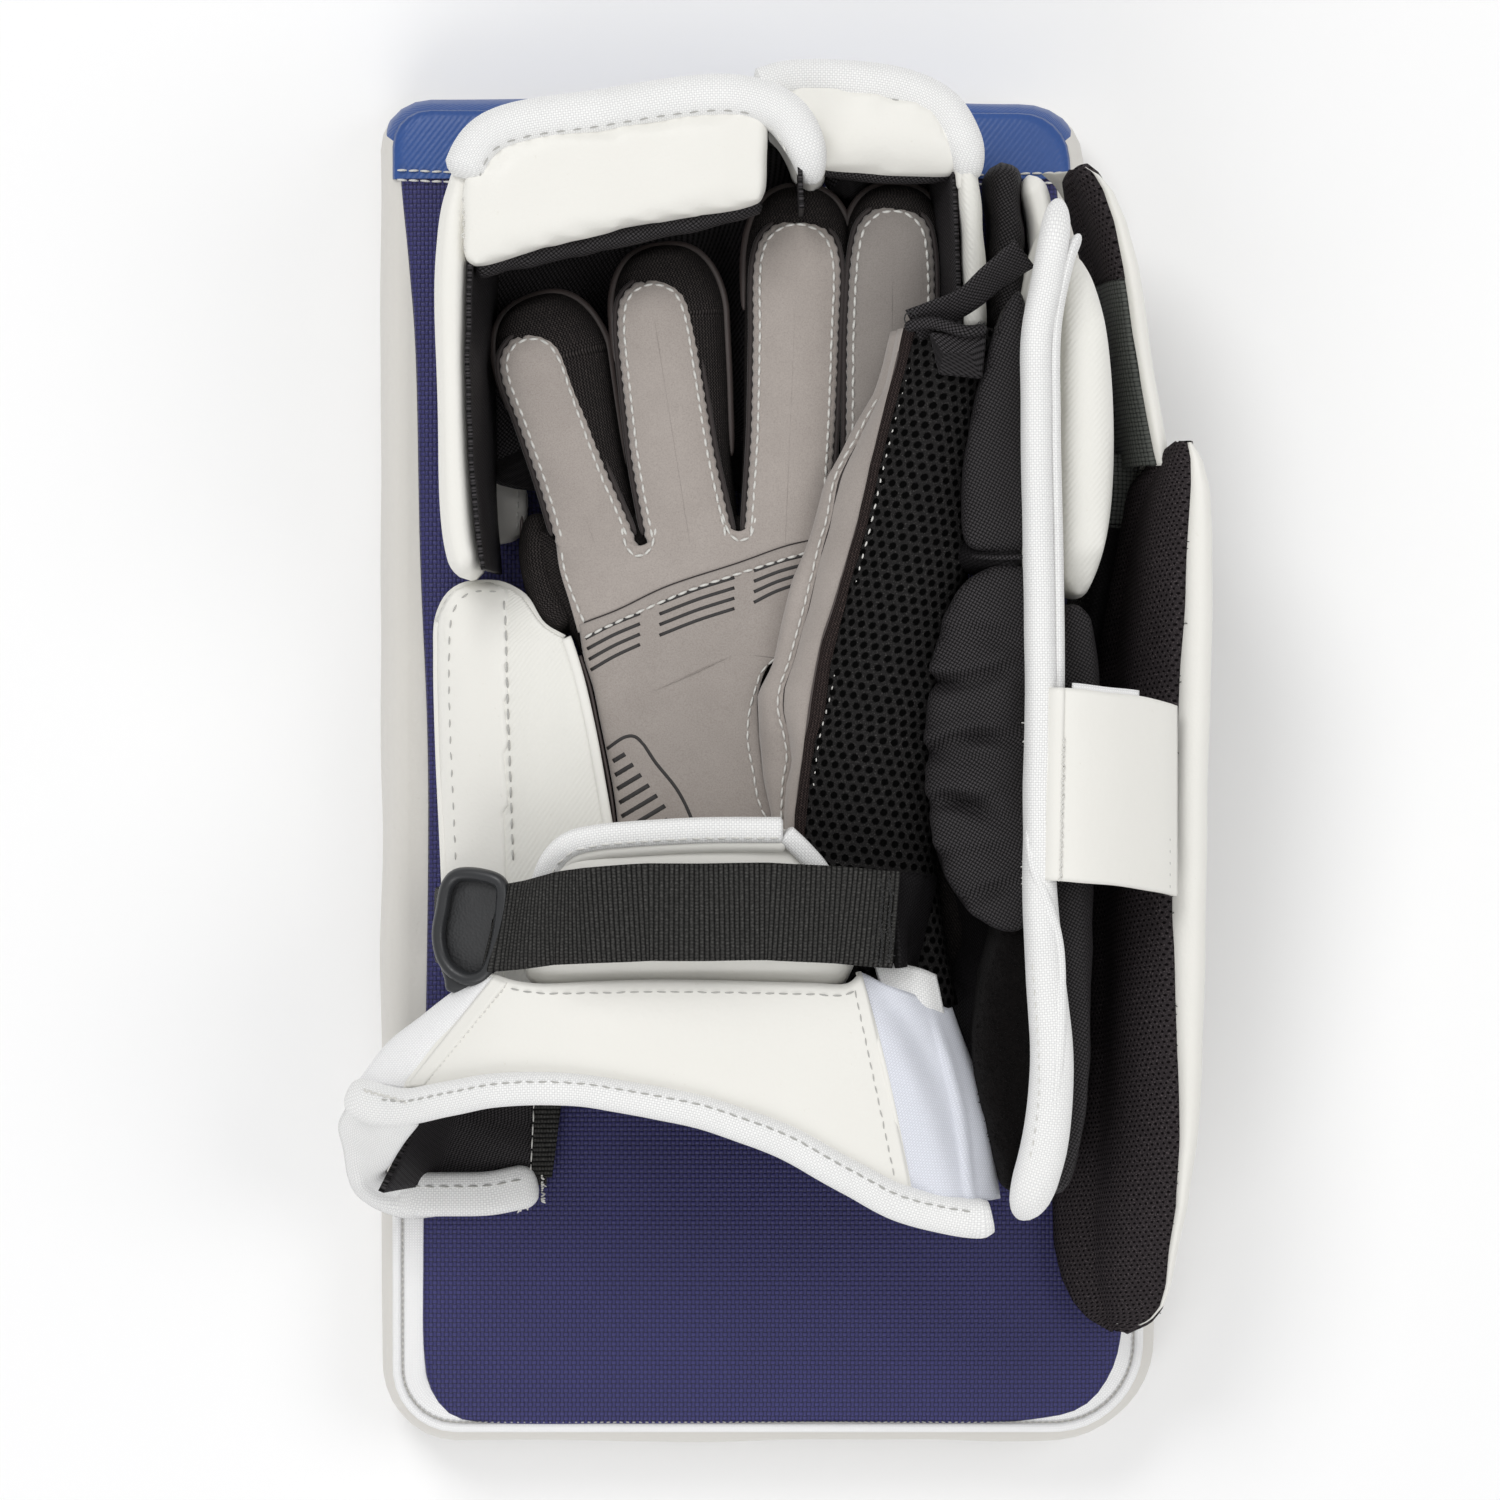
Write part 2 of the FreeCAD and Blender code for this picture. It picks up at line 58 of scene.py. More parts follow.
SPINE_GAP = 0.002  # how near a pillow's last ring comes to its spine, as a share of the way
STITCH_MARKS = 6  # marks along the line for each stitch
SWELL_FRAMES = 20  # frames of cloth simulation for each pad
CLOTH = {"quality": 6, "mass": 0.2, "tension_stiffness": 12, "compression_stiffness": 6,
    "shear_stiffness": 6, "bending_stiffness": 0.6, "use_pressure": True}
rng = random.Random(7)


# ---------------------------------------------------------------- curves, all in millimetres
def vectors(points, z=0.0):
    """Points as vectors, with a level for those that have only x and y."""
    return [Vector((p[0], p[1], p[2] if len(p) > 2 else z)) for p in points]


def smooth(points, count, closed=False, z=0.0):
    """A centripetal Catmull-Rom curve through the points, as count points spaced evenly along it."""
    pts = vectors(points, z)
    if closed:
        pts = [pts[-1]] + pts + pts[:2]
    else:
        pts = [2 * pts[0] - pts[1]] + pts + [2 * pts[-1] - pts[-2]]
    dense = []
    for i in range(len(pts) - 3):
        a, b, c, d = pts[i : i + 4]
        t1 = math.sqrt((b - a).length)
        t2 = t1 + math.sqrt((c - b).length)
        t3 = t2 + math.sqrt((d - c).length)
        for step in range(CURVE_STEPS):
            t = t1 + (t2 - t1) * step / CURVE_STEPS
            ab = a.lerp(b, t / t1)
            bc = b.lerp(c, (t - t1) / (t2 - t1))
            cd = c.lerp(d, (t - t2) / (t3 - t2))
            dense.append(ab.lerp(bc, t / t2).lerp(bc.lerp(cd, (t - t1) / (t3 - t1)), (t - t1) / (t2 - t1)))
    dense.append(pts[-2])
    return even(dense, count, closed)


def even(line, count, closed=False):
    """A polyline as count points, evenly spaced."""
    ends = np.array([list(p) for p in line])
    run = np.concatenate([[0], np.cumsum(np.linalg.norm(np.diff(ends, axis=0), axis=1))])
    marks = np.linspace(0, run[-1], count + 1)[:-1] if closed else np.linspace(0, run[-1], count)
    axes = [np.interp(marks, run, ends[:, k]) for k in range(3)]
    return [Vector(p) for p in zip(*axes)]


def rounded(corners, count):
    """A closed outline with an arc at each corner, given as (x, y, radius)."""
    pts = [Vector((x, y, 0)) for x, y, _ in corners]
    line = []
    for i, (_, _, radius) in enumerate(corners):
        here = pts[i]
        back = (pts[i - 1] - here).normalized()
        ahead = (pts[(i + 1) % len(pts)] - here).normalized()
        half = back.angle(ahead) / 2
        reach = radius / math.tan(half)
        centre = here + (back + ahead).normalized() * (radius / math.sin(half))
        first, last = here + back * reach - centre, here + ahead * reach - centre
        begin = math.atan2(first.y, first.x)
        turn = (math.atan2(last.y, last.x) - begin + PI) % (2 * PI) - PI
        for step in range(CURVE_STEPS + 1):
            angle = begin + turn * step / CURVE_STEPS
            line.append(centre + Vector((math.cos(angle), math.sin(angle), 0)) * radius)
    line.append(line[0])
    return even(line, count, True)


def offset(line, distance, closed=True):
    """A flat line moved sideways: positive is to the right of its direction."""
    n = len(line)
    out = []
    for i, p in enumerate(line):
        a = line[(i - 1) % n] if closed or i else line[0]
        b = line[(i + 1) % n] if closed or i < n - 1 else line[-1]
        d = (b - a).normalized()
        out.append(p + Vector((d.y, -d.x, 0)) * distance)
    return out


def path_length(line):
    """The length of a polyline."""
    return sum((b - a).length for a, b in zip(line, line[1:]))


def ripple(p, size, seed=0.0):
    """Smooth noise from -1 to 1 with features of about the given size."""
    return noise.noise(Vector((p[0] / size + seed, p[1] / size - seed, p[2] / size + 2 * seed)))


def grid(rows, columns, place):
    """Rows of points from a function of how far down and how far across they are, each 0 to 1."""
    return [[place(v / (rows - 1), u / (columns - 1)) for u in range(columns)] for v in range(rows)]


# ---------------------------------------------------------------- meshes
def mesh_object(name, verts, faces, uvs=None):
    """An object from vertices in millimetres. The UV map is in millimetres of cloth."""
    mesh = bpy.data.meshes.new(name)
    mesh.from_pydata([tuple(v * MM for v in p) for p in verts], [], faces)
    mesh.update()
    if uvs is not None:
        layer = mesh.uv_layers.new(name="cloth")
        for loop in mesh.loops:
            layer.data[loop.index].uv = uvs[loop.vertex_index]
    for poly in mesh.polygons:
        poly.use_smooth = True
    obj = bpy.data.objects.new(name, mesh)
    bpy.context.scene.collection.objects.link(obj)
    return obj


def skin(name, rows, closed=False, caps=False):
    """A surface over rows of points. closed joins each row's ends, and caps fill the first and last row."""
    width = len(rows[0])
    verts = [p for row in rows for p in row]
    faces = []
    across = width if closed else width - 1
    for r in range(len(rows) - 1):
        for c in range(across):
            d = (c + 1) % width
            faces.append((r * width + c, r * width + d, (r + 1) * width + d, (r + 1) * width + c))
    uvs = []
    down = 0.0
    for r, row in enumerate(rows):
        if r:
            mid = width // 2
            down += (rows[r][mid] - rows[r - 1][mid]).length
        along = 0.0
        for c, p in enumerate(row):
            along += (p - row[c - 1]).length if c else 0.0
            uvs.append((along, down))
    if caps:
        faces.append(tuple(range(width))[::-1])
        faces.append(tuple((len(rows) - 1) * width + c for c in range(width)))
    return mesh_object(name, verts, faces, uvs)


def sweep(name, path, profile, up=UP, scale=None, closed=False):
    """A profile of (sideways, up) points carried along a path. Sideways is to the path's right."""
    n = len(path)
    rows = []
    for i, p in enumerate(path):
        a = path[(i - 1) % n] if closed or i else path[0]
        b = path[(i + 1) % n] if closed or i < n - 1 else path[-1]
        along = (b - a).normalized()
        lift = up[i] if isinstance(up, list) else up
        side = along.cross(lift).normalized()
        lift = side.cross(along).normalized()
        k = scale(i / (n - 1)) if scale else 1.0
        kx, ky = k if isinstance(k, tuple) else (k, k)
        rows.append([p + side * (s * kx) + lift * (h * ky) for s, h in profile])
    if closed:
        rows.append(rows[0])
    obj = skin(name, rows, closed=True, caps=not closed)
    if closed:
        weld(obj)
    return obj


def weld(obj, distance=0.01):
    """Joins the vertices that meet, and turns the faces outwards."""
    bm = bmesh.new()
    bm.from_mesh(obj.data)
    bmesh.ops.remove_doubles(bm, verts=bm.verts, dist=distance * MM)
    bmesh.ops.recalc_face_normals(bm, faces=bm.faces)
    bm.to_mesh(obj.data)
    bm.free()


def oval(width, height, count=16, square=2.0):
    """A closed profile of (sideways, up) points: an ellipse, or squarer with a higher power."""
    out = []
    for i in range(count):
        a = 2 * PI * i / count
        c, s = math.cos(a), math.sin(a)
        grow = (abs(c) ** square + abs(s) ** square) ** (-1 / square)
        out.append((c * grow * width / 2, s * grow * height / 2))
    return out


def rounding(least, *shares):
    """What is left of a width near rounded ends, from how much of each end's length is behind it."""
    return min(math.sqrt(max(least, 1 - (1 - share) ** 2)) for share in shares)


def tapered(short=0.06, least=0.15):
    """A scale along a path that rounds off both ends."""
    def at(t):
        edge = min(t, 1 - t) / short
        return 1.0 if edge >= 1 else least + (1 - least) * rounding(0.0, edge)
    return at


def pillow(name, outline, spine, top, bottom, rings=9, power=3.0):
    """A crowned form inside a closed outline, flattening towards a spine between two points."""
    start, end = Vector(spine[0]), Vector(spine[1])
    axis = end - start
    length = max(axis.length_squared, 1e-9)
    centres = []
    for p in outline:
        t = min(max((p - start).dot(axis) / length, 0), 1)
        centres.append(start + axis * t)
    rows = []
    for side, height in ((-1, bottom), (1, top)):
        steps = range(rings + 1) if side < 0 else range(rings, -1, -1)
        for k in steps:
            s = math.sin(0.5 * PI * k / rings)
            if side > 0 and k == rings:
                continue
            rise = height * (1 - s**power) ** (1 / power)
            row = []
            for p, c in zip(outline, centres):
                q = c + (p - c) * max(s, SPINE_GAP)
                row.append(q + UP * (rise * side))
            rows.append(row)
    obj = skin(name, rows, closed=True, caps=True)
    for face in obj.data.polygons:
        face.use_smooth = len(face.vertices) == 4
    return obj


def finish_piece(obj, body, finish, replaces=()):
    """Gives a piece its finish, hides the CAD nodes it stands for, and parents it to its body; for a pair of
    bodies it only bakes the piece's transform.
    """
    obj.data.materials.clear()
    obj.data.materials.append(finish)
    if replaces:
        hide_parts(*replaces)
    if isinstance(body, str):
        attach(obj, body)
    else:
        first, second, start, end = body
        tuple(v * MM for v in start)
        tuple(v * MM for v in end)
        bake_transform(obj)
    return obj


def sheet(name, rows, thickness, body, finish, replaces=()):
    """A piece of cloth or leather over rows of points."""
    obj = skin(name, rows)
    thicken(obj, thickness)
    finish_piece(obj, body, finish, replaces)


def sew(name, line, pitch, length, radius, body, finish):
    """A row of stitches as a piece of its own."""
    finish_piece(stitches(name, line, pitch, length, radius), body, finish)


def strand(start, bend, steps, width, height, scale=None):
    """A loose thread from a point."""
    line = smooth([start, start + bend * 0.5, start + bend], steps)
    return sweep("fray", line, oval(width, height, 5), scale=scale)


def random_vector(*ranges):
    """A vector with each part drawn from a range."""
    return Vector([rng.uniform(low, high) for low, high in ranges])


def apply_modifiers(obj):
    """Turns a piece's modifiers into plain mesh."""
    bpy.context.view_layer.update()
    graph = bpy.context.evaluated_depsgraph_get()
    mesh = bpy.data.meshes.new_from_object(obj.evaluated_get(graph))
    old = obj.data
    obj.modifiers.clear()
    obj.data = mesh
    bpy.data.meshes.remove(old)
    for poly in obj.data.polygons:
        poly.use_smooth = True


def smooth_more(obj):
    """One level of subdivision."""
    mod = obj.modifiers.new("subdivide", "SUBSURF")
    mod.levels = 1
    apply_modifiers(obj)


def thicken(obj, thickness):
    """Gives a sheet a thickness, half to each side."""
    mod = obj.modifiers.new("solid", "SOLIDIFY")
    mod.thickness = thickness * MM
    mod.offset = 0
    apply_modifiers(obj)


def lay_cloth(obj):
    """A UV map in millimetres, laid from the side that each face looks to."""
    layer = obj.data.uv_layers.get("cloth") or obj.data.uv_layers.new(name="cloth")
    for poly in obj.data.polygons:
        n = [abs(c) for c in poly.normal]
        drop = n.index(max(n))
        keep = [k for k in range(3) if k != drop]
        for loop in poly.loop_indices:
            co = obj.data.vertices[obj.data.loops[loop].vertex_index].co
            layer.data[loop].uv = (co[keep[0]] / MM, co[keep[1]] / MM)


def lay_from_above(obj):
    """A UV map in millimetres, straight down on the piece, so that its weave runs true."""
    layer = obj.data.uv_layers.get("cloth") or obj.data.uv_layers.new(name="cloth")
    for loop in obj.data.loops:
        co = obj.data.vertices[loop.vertex_index].co
        layer.data[loop.index].uv = (co.x / MM, co.y / MM)


def puff(obj, cap, pressure, voxel):
    """Swells a padded piece by cloth simulation, with no point moving more than cap millimetres."""
    mod = obj.modifiers.new("remesh", "REMESH")
    mod.mode = "VOXEL"
    mod.voxel_size = voxel * MM
    apply_modifiers(obj)
    rest = np.array([list(v.co) for v in obj.data.vertices])
    cloth = obj.modifiers.new("cloth", "CLOTH")
    settings = cloth.settings
    for key, value in CLOTH.items():
        setattr(settings, key, value)
    settings.uniform_pressure_force = pressure
    settings.effector_weights.gravity = 0
    cloth.point_cache.frame_start = 1
    cloth.point_cache.frame_end = SWELL_FRAMES
    scene = bpy.context.scene
    for number in range(1, SWELL_FRAMES + 1):
        scene.frame_set(number)
    apply_modifiers(obj)
    scene.frame_set(1)
    moved = np.array([list(v.co) for v in obj.data.vertices]) - rest
    far = np.linalg.norm(moved, axis=1, keepdims=True)
    moved *= np.minimum(1.0, cap * MM / np.maximum(far, 1e-9))
    for v, p in zip(obj.data.vertices, rest + moved):
        v.co = p
    smooth_more(obj)
    lay_cloth(obj)
    return obj


def reshape(obj, move):
    """Moves each vertex by a function of its place in millimetres."""
    for v in obj.data.vertices:
        p = v.co / MM
        v.co = (p + Vector(move(p))) * MM
    obj.data.update()


def settle(line, obj, lift):
    """Drops a line straight down on to a piece, leaving it a little above the surface."""
    tree = BVHTree.FromPolygons([v.co / MM for v in obj.data.vertices],
        [tuple(f.vertices) for f in obj.data.polygons])
    laid_down = []
    for p in line:
        hit = tree.ray_cast(Vector((p.x, p.y, 300)), -UP)[0]
        if hit:
            laid_down.append(Vector((p.x, p.y, hit.z + lift)))
    return laid_down


def box_form(name, outline, z_range, bulge):
    """A closed prism on an outline, the starting shape of a pad."""
    low, high = z_range
    rows = []
    for z, grow in ((low, 0.0), ((low + high) / 2, bulge), (high, 0.0)):
        rows.append([p + UP * z for p in offset(outline, -grow)])
    return skin(name, rows, closed=True, caps=True)


def pad(name, outline, z_range, bulge, swell, shape):
    """A padded piece, swelled by simulation and then creased. swell is its cap, pressure and voxel size."""
    obj = box_form(name, outline, z_range, bulge)
    puff(obj, *swell)
    reshape(obj, shape)
    return obj


def stitches(name, line, pitch, length, radius, wobble=0.12):
    """A row of thread stitches along a line, each an arch that dips into the cloth at its ends."""
    total = path_length(line)
    count = max(2, int(total / pitch))
    marks = even(line, count * STITCH_MARKS + 1)
    reach = max(1, round(STITCH_MARKS * length / pitch))
    verts, faces = [], []
    for k in range(count):
        first = k * STITCH_MARKS
        last = min(first + reach, len(marks) - 1)
        a, b = marks[first], marks[last]
        along = (b - a).normalized()
        side = along.cross(UP).normalized()
        lift = side.cross(along).normalized()
        turn = rng.uniform(-wobble, wobble)
        base = len(verts)
        rings, sides = 5, 6
        for r in range(rings):
            t = r / (rings - 1)
            arch = math.sin(PI * t)
            centre = a.lerp(b, t) + lift * (radius * (1.5 * arch - 0.7)) + side * (turn * (t - 0.5) * 2)
            thick = radius * (0.55 + 0.45 * arch)
            for s in range(sides):
                angle = 2 * PI * s / sides
                verts.append(centre + side * (thick * math.cos(angle)) + lift * (thick * math.sin(angle)))
        for r in range(rings - 1):
            for s in range(sides):
                n = (s + 1) % sides
                low, high = base + r * sides, base + (r + 1) * sides
                faces.append((low + s, low + n, high + n, high + s))
        faces.append(tuple(base + s for s in range(sides))[::-1])
        faces.append(tuple(base + (rings - 1) * sides + s for s in range(sides)))
    return mesh_object(name, verts, faces)


def join(name, parts):
    """Several objects as one."""
    verts, faces, uvs = [], [], []
    for part in parts:
        base = len(verts)
        mesh = part.data
        layer = mesh.uv_layers.get("cloth")
        verts += [v.co / MM for v in mesh.vertices]
        local = [(0.0, 0.0)] * len(mesh.vertices)
        if layer:
            for loop in mesh.loops:
                local[loop.vertex_index] = tuple(layer.data[loop.index].uv)
        uvs += local
        faces += [tuple(base + i for i in poly.vertices) for poly in mesh.polygons]
        bpy.data.objects.remove(part)
    return mesh_object(name, verts, faces, uvs)


# ---------------------------------------------------------------- materials
class Shader:
    """A small builder of node materials. Patterns read the UV map, which is in millimetres of cloth."""

    def __init__(self, name, roughness=0.6, specular=0.5, sheen=0.0, coat=0.0):
        self.material = bpy.data.materials.new(name)
        self.material.use_nodes = True
        self.tree = self.material.node_tree
        self.shader = self.tree.nodes["Principled BSDF"]
        self.shader.inputs["Roughness"].default_value = roughness
        self.shader.inputs["Specular IOR Level"].default_value = specular
        self.shader.inputs["Sheen Weight"].default_value = sheen
        self.shader.inputs["Sheen Roughness"].default_value = 0.5
        self.shader.inputs["Coat Weight"].default_value = coat
        self.place = None

    def node(self, kind, **settings):
        made = self.tree.nodes.new(kind)
        for key, value in settings.items():
            setattr(made, key, value)
        return made

    def link(self, source, target):
        self.tree.links.new(source, target)

    def feed(self, socket, value):
        if isinstance(value, (int, float)):
            socket.default_value = value
        elif isinstance(value, tuple):
            socket.default_value = value if len(value) == len(socket.default_value) else value[:3]
        else:
            self.link(value, socket)

    def math(self, operation, a, b=0.0, c=0.0):
        made = self.node("ShaderNodeMath", operation=operation)
        for socket, value in zip(made.inputs, (a, b, c)):
            self.feed(socket, value)
        return made.outputs[0]

    def times(self, a, b):
        return self.math("MULTIPLY", a, b)

    def plus(self, a, b):
        return self.math("ADD", a, b)

    def minus(self, a, b):
        return self.math("SUBTRACT", a, b)

    def scaled(self, value, factor, shift):
        return self.math("MULTIPLY_ADD", value, factor, shift)

    def sine(self, value, turn=PI):
        return self.math("SINE", self.times(value, turn))

    def wave(self, value, turn=PI):
        """The size of the sine, which repeats once for each half turn."""
        return self.math("ABSOLUTE", self.sine(value, turn))

    def cloth(self, turn=0.0, size=1.0):
        """The UV map turned by an angle and divided by a pitch: its u and v."""
        uv = self.node("ShaderNodeUVMap", uv_map="cloth")
        mapping = self.node("ShaderNodeMapping")
        mapping.inputs["Rotation"].default_value = (0, 0, math.radians(turn))
        mapping.inputs["Scale"].default_value = (1 / size, 1 / size, 1)
        self.link(uv.outputs[0], mapping.inputs["Vector"])
        split = self.node("ShaderNodeSeparateXYZ")
        self.link(mapping.outputs[0], split.inputs[0])
        return split.outputs["X"], split.outputs["Y"], mapping.outputs[0]

    def world(self, size):
        """The place on the object, in units of size millimetres."""
        place = self.node("ShaderNodeTexCoord")
        mapping = self.node("ShaderNodeMapping")
        mapping.inputs["Scale"].default_value = (1000 / size,) * 3
        self.link(place.outputs["Object"], mapping.inputs["Vector"])
        return mapping.outputs[0]

    def noise(self, vector, scale=1.0, detail=3.0, rough=0.5):
        made = self.node("ShaderNodeTexNoise")
        made.inputs["Scale"].default_value = scale
        made.inputs["Detail"].default_value = detail
        made.inputs["Roughness"].default_value = rough
        self.link(vector, made.inputs["Vector"])
        return made.outputs["Fac"]

    def cells(self, vector):
        made = self.node("ShaderNodeTexVoronoi")
        made.inputs["Scale"].default_value = 1.0
        self.link(vector, made.inputs["Vector"])
        return made.outputs["Distance"]

    def ramp(self, value, stops):
        """A colour ramp from (position, colour) stops."""
        made = self.node("ShaderNodeValToRGB")
        ramp = made.color_ramp
        while len(ramp.elements) < len(stops):
            ramp.elements.new(0.5)
        for element, (position, colour) in zip(ramp.elements, stops):
            element.position = position
            element.color = (*colour, 1)
        self.feed(made.inputs["Fac"], value)
        return made.outputs["Color"]

    def mix(self, factor, a, b, blend="MIX"):
        made = self.node("ShaderNodeMix", data_type="RGBA", blend_type=blend)
        self.feed(made.inputs["Factor"], factor)
        for name, value in (("A", a), ("B", b)):
            socket = [s for s in made.inputs if s.name == name and s.type == "RGBA"][0]
            self.feed(socket, (*value, 1) if isinstance(value, tuple) else value)
        return [s for s in made.outputs if s.type == "RGBA"][0]

    def bump(self, height, depth, strength=1.0, under=None):
        """Depth is in millimetres."""
        made = self.node("ShaderNodeBump")
        made.inputs["Strength"].default_value = strength
        made.inputs["Distance"].default_value = depth * MM
        self.link(height, made.inputs["Height"])
        if under is not None:
            self.link(under, made.inputs["Normal"])
        self.link(made.outputs[0], self.shader.inputs["Normal"])
        return made.outputs[0]

    def colour(self, value):
        self.feed(self.shader.inputs["Base Color"], (*value, 1) if isinstance(value, tuple) else value)

    def rough(self, value):
        self.feed(self.shader.inputs["Roughness"], value)

    def plain_weave(self, pitch, turn=0.0, squash=1.0):
        """Height of over-and-under threads, and a mask of which set is on top."""
        u, v, _ = self.cloth(turn, pitch)
        if squash != 1.0:
            v = self.times(v, squash)
        su = self.sine(u)
        sv = self.sine(v)
        both = self.times(su, sv)
        over = self.math("GREATER_THAN", both, 0.0)
        au = self.math("POWER", self.math("ABSOLUTE", su), 0.6)
        av = self.math("POWER", self.math("ABSOLUTE", sv), 0.6)
        first = self.times(av, self.scaled(au, 0.35, 0.65))
        second = self.times(au, self.scaled(av, 0.35, 0.65))
        gap = self.minus(first, second)
        height = self.scaled(gap, over, second)
        return height, over


def woven(name, low, high, pitch, depth=0.22, turn=0.0, squash=1.0, roughness=0.62, sheen=0.15, specular=0.4,
          mottle=0.36, dark=0.15):
    """Woven cloth: thread by thread, with its colour between low in the gaps and high on the threads."""
    s = Shader(name, roughness, specular, sheen)
    height, over = s.plain_weave(pitch, turn, squash)
    drift = s.noise(s.world(18), 1.0, 3.0)
    fleck = s.noise(s.world(0.7), 1.0, 2.0)
    base = s.ramp(height, [(dark, low), (0.85 + 0.12 * (dark > 0.3), high)])
    tone = s.scaled(drift, mottle, 1 - mottle / 2)
    tone = s.times(tone, s.scaled(fleck, mottle, 1 - mottle / 2))
    tone = s.times(tone, s.scaled(over, 0.10, 0.95))
    grey = s.node("ShaderNodeCombineColor")
    for socket in grey.inputs:
        s.link(tone, socket)
    s.colour(s.mix(1.0, base, grey.outputs[0], "MULTIPLY"))
    s.rough(s.scaled(height, -0.12, roughness + 0.08))
    under = s.bump(s.noise(s.world(0.25), 1.0, 2.0), 0.03)
    s.bump(height, depth, 0.9, under)
    return s.material


def leather(name, colour, shade, roughness=0.42, grain=0.9, depth=0.05, twill=0.0):
    """Synthetic leather: a fine pore grain, faint creases and handling marks."""
    s = Shader(name, roughness, 0.45, 0.03)
    pores = s.cells(s.world(grain))
    crease = s.noise(s.world(9), 1.0, 4.0, 0.6)
    drift = s.noise(s.world(60), 1.0, 3.0)
    mark = s.noise(s.world(2.4), 1.0, 5.0, 0.7)
    tone = s.mix(s.times(drift, 0.9), colour, shade)
    specks = s.ramp(mark, [(0.66, (1, 1, 1)), (0.74, (0.93, 0.92, 0.90))])
    s.colour(s.mix(1.0, tone, specks, "MULTIPLY"))
    s.rough(s.scaled(mark, 0.2, roughness - 0.06))
    under = s.bump(crease, 0.35, 0.5)
    if twill:
        u, _, _ = s.cloth(38, twill)
        under = s.bump(s.sine(u, 2 * PI), 0.05, 0.6, under)
    s.bump(pores, depth, 0.6, under)
    return s.material


def suede(name, colour, shade):
    """Micro-suede: a short nap with dark specks and brushed patches."""
    s = Shader(name, 0.92, 0.2, 0.35)
    nap = s.noise(s.world(0.38), 1.0, 4.0, 0.7)
    brushed = s.noise(s.world(14), 1.0, 3.0, 0.6)
    base = s.mix(brushed, colour, shade)
    specks = s.ramp(nap, [(0.30, (0.82, 0.81, 0.80)), (0.52, (1.0, 1.0, 1.0)), (0.72, (1.10, 1.10, 1.09))])
    s.colour(s.mix(1.0, base, specks, "MULTIPLY"))
    under = s.bump(brushed, 0.5, 0.35)
    s.bump(nap, 0.12, 0.8, under)
    return s.material


def knit(name, low, high, pitch=0.85):
    """Fine ribbed knit: slanting loops in rows."""
    s = Shader(name, 0.8, 0.06, 0.0)
    u, v, _ = s.cloth(0, pitch)
    slant = s.plus(u, s.times(s.sine(v, 2 * PI), 0.22))
    rib = s.wave(slant)
    row = s.wave(v, 2 * PI)
    height = s.times(rib, s.scaled(row, 0.5, 0.5))
    lint = s.noise(s.world(0.45), 1.0, 2.0, 0.6)
    base = s.ramp(height, [(0.1, low), (0.95, high)])
    flecks_and_painted_glints = s.ramp(lint, [(0.5, (0.85, 0.85, 0.85)), (0.78, (2.2, 2.1, 2.0))])
    s.colour(s.mix(1.0, base, flecks_and_painted_glints, "MULTIPLY"))
    s.bump(height, 0.25, 0.9)
    return s.material


def spacer_mesh(name, low, high, pitch, hole=0.36, depth=1.1):
    """Spacer mesh: staggered dark holes in a raised, wiry net."""
    s = Shader(name, 0.75, 0.04, 0.0)
    u, v, _ = s.cloth(8, pitch)
    v = s.times(v, 1.1547)
    row = s.math("FLOOR", v)
    odd = s.times(s.math("MODULO", s.math("ABSOLUTE", row), 2.0), 0.5)
    du = s.minus(s.math("FRACT", s.plus(u, odd)), 0.5)
    dv = s.times(s.minus(s.math("FRACT", v), 0.5), 0.866)
    far = s.math("SQRT", s.plus(s.times(du, du), s.times(dv, dv)))
    wire = s.noise(s.world(0.5), 1.0, 3.0, 0.7)
    far = s.plus(far, s.scaled(wire, 0.14, -0.07))
    rim = s.ramp(far, [(hole - 0.07, (0, 0, 0)), (hole + 0.05, (1, 1, 1))])
    strands = s.times(rim, s.scaled(wire, 0.5, 0.6))
    # painted glints: bright specks multiplied into the net's colour in place of glints from the light
    glint = s.noise(s.world(0.42), 1.0, 2.0, 0.6)
    flecks_and_painted_glints = s.ramp(glint, [(0.56, (1, 1, 1)), (0.72, (3.4, 3.4, 3.3))])
    s.colour(s.mix(1.0, s.ramp(strands, [(0.05, low), (0.95, high)]), flecks_and_painted_glints, "MULTIPLY"))
    s.bump(strands, depth, 1.0)
    return s.material


def webbing(name, low, high, pitch=1.25):
    """Ribbed webbing: cords along the strap crossed by fine picks."""
    s = Shader(name, 0.6, 0.12, 0.0)
    u, v, _ = s.cloth(0, pitch)
    rib = s.wave(v)
    shift = s.times(s.math("MODULO", s.math("FLOOR", v), 2.0), 0.5)
    pick = s.wave(s.plus(u, shift), 1.5 * PI)
    height = s.times(s.math("POWER", rib, 0.7), s.scaled(pick, 0.45, 0.55))
    # painted glints: bright patches multiplied into the webbing's colour
    glint = s.noise(s.world(0.6), 1.0, 2.0)
    base = s.ramp(height, [(0.1, low), (0.9, high)])
    s.colour(s.mix(1.0, base, s.ramp(glint, [(0.45, (0.9, 0.9, 0.9)), (0.75, (1.9, 1.9, 1.9))]), "MULTIPLY"))
    s.bump(height, 0.4, 1.0)
    return s.material


def moulded(name, colour, pebble=0.0, roughness=0.42):
    """Moulded plastic, plain or pebbled."""
    s = Shader(name, roughness, 0.5)
    grain = s.noise(s.world(0.6), 1.0, 3.0, 0.6)
    wear = s.noise(s.world(7), 1.0, 4.0, 0.6)
    s.colour(s.mix(s.times(wear, 0.5), colour, tuple(c * 1.8 for c in colour)))
    s.rough(s.scaled(grain, 0.25, roughness - 0.1))
    s.bump(s.cells(s.world(0.75)) if pebble else grain, 0.15 if pebble else 0.02, 0.7)
    return s.material


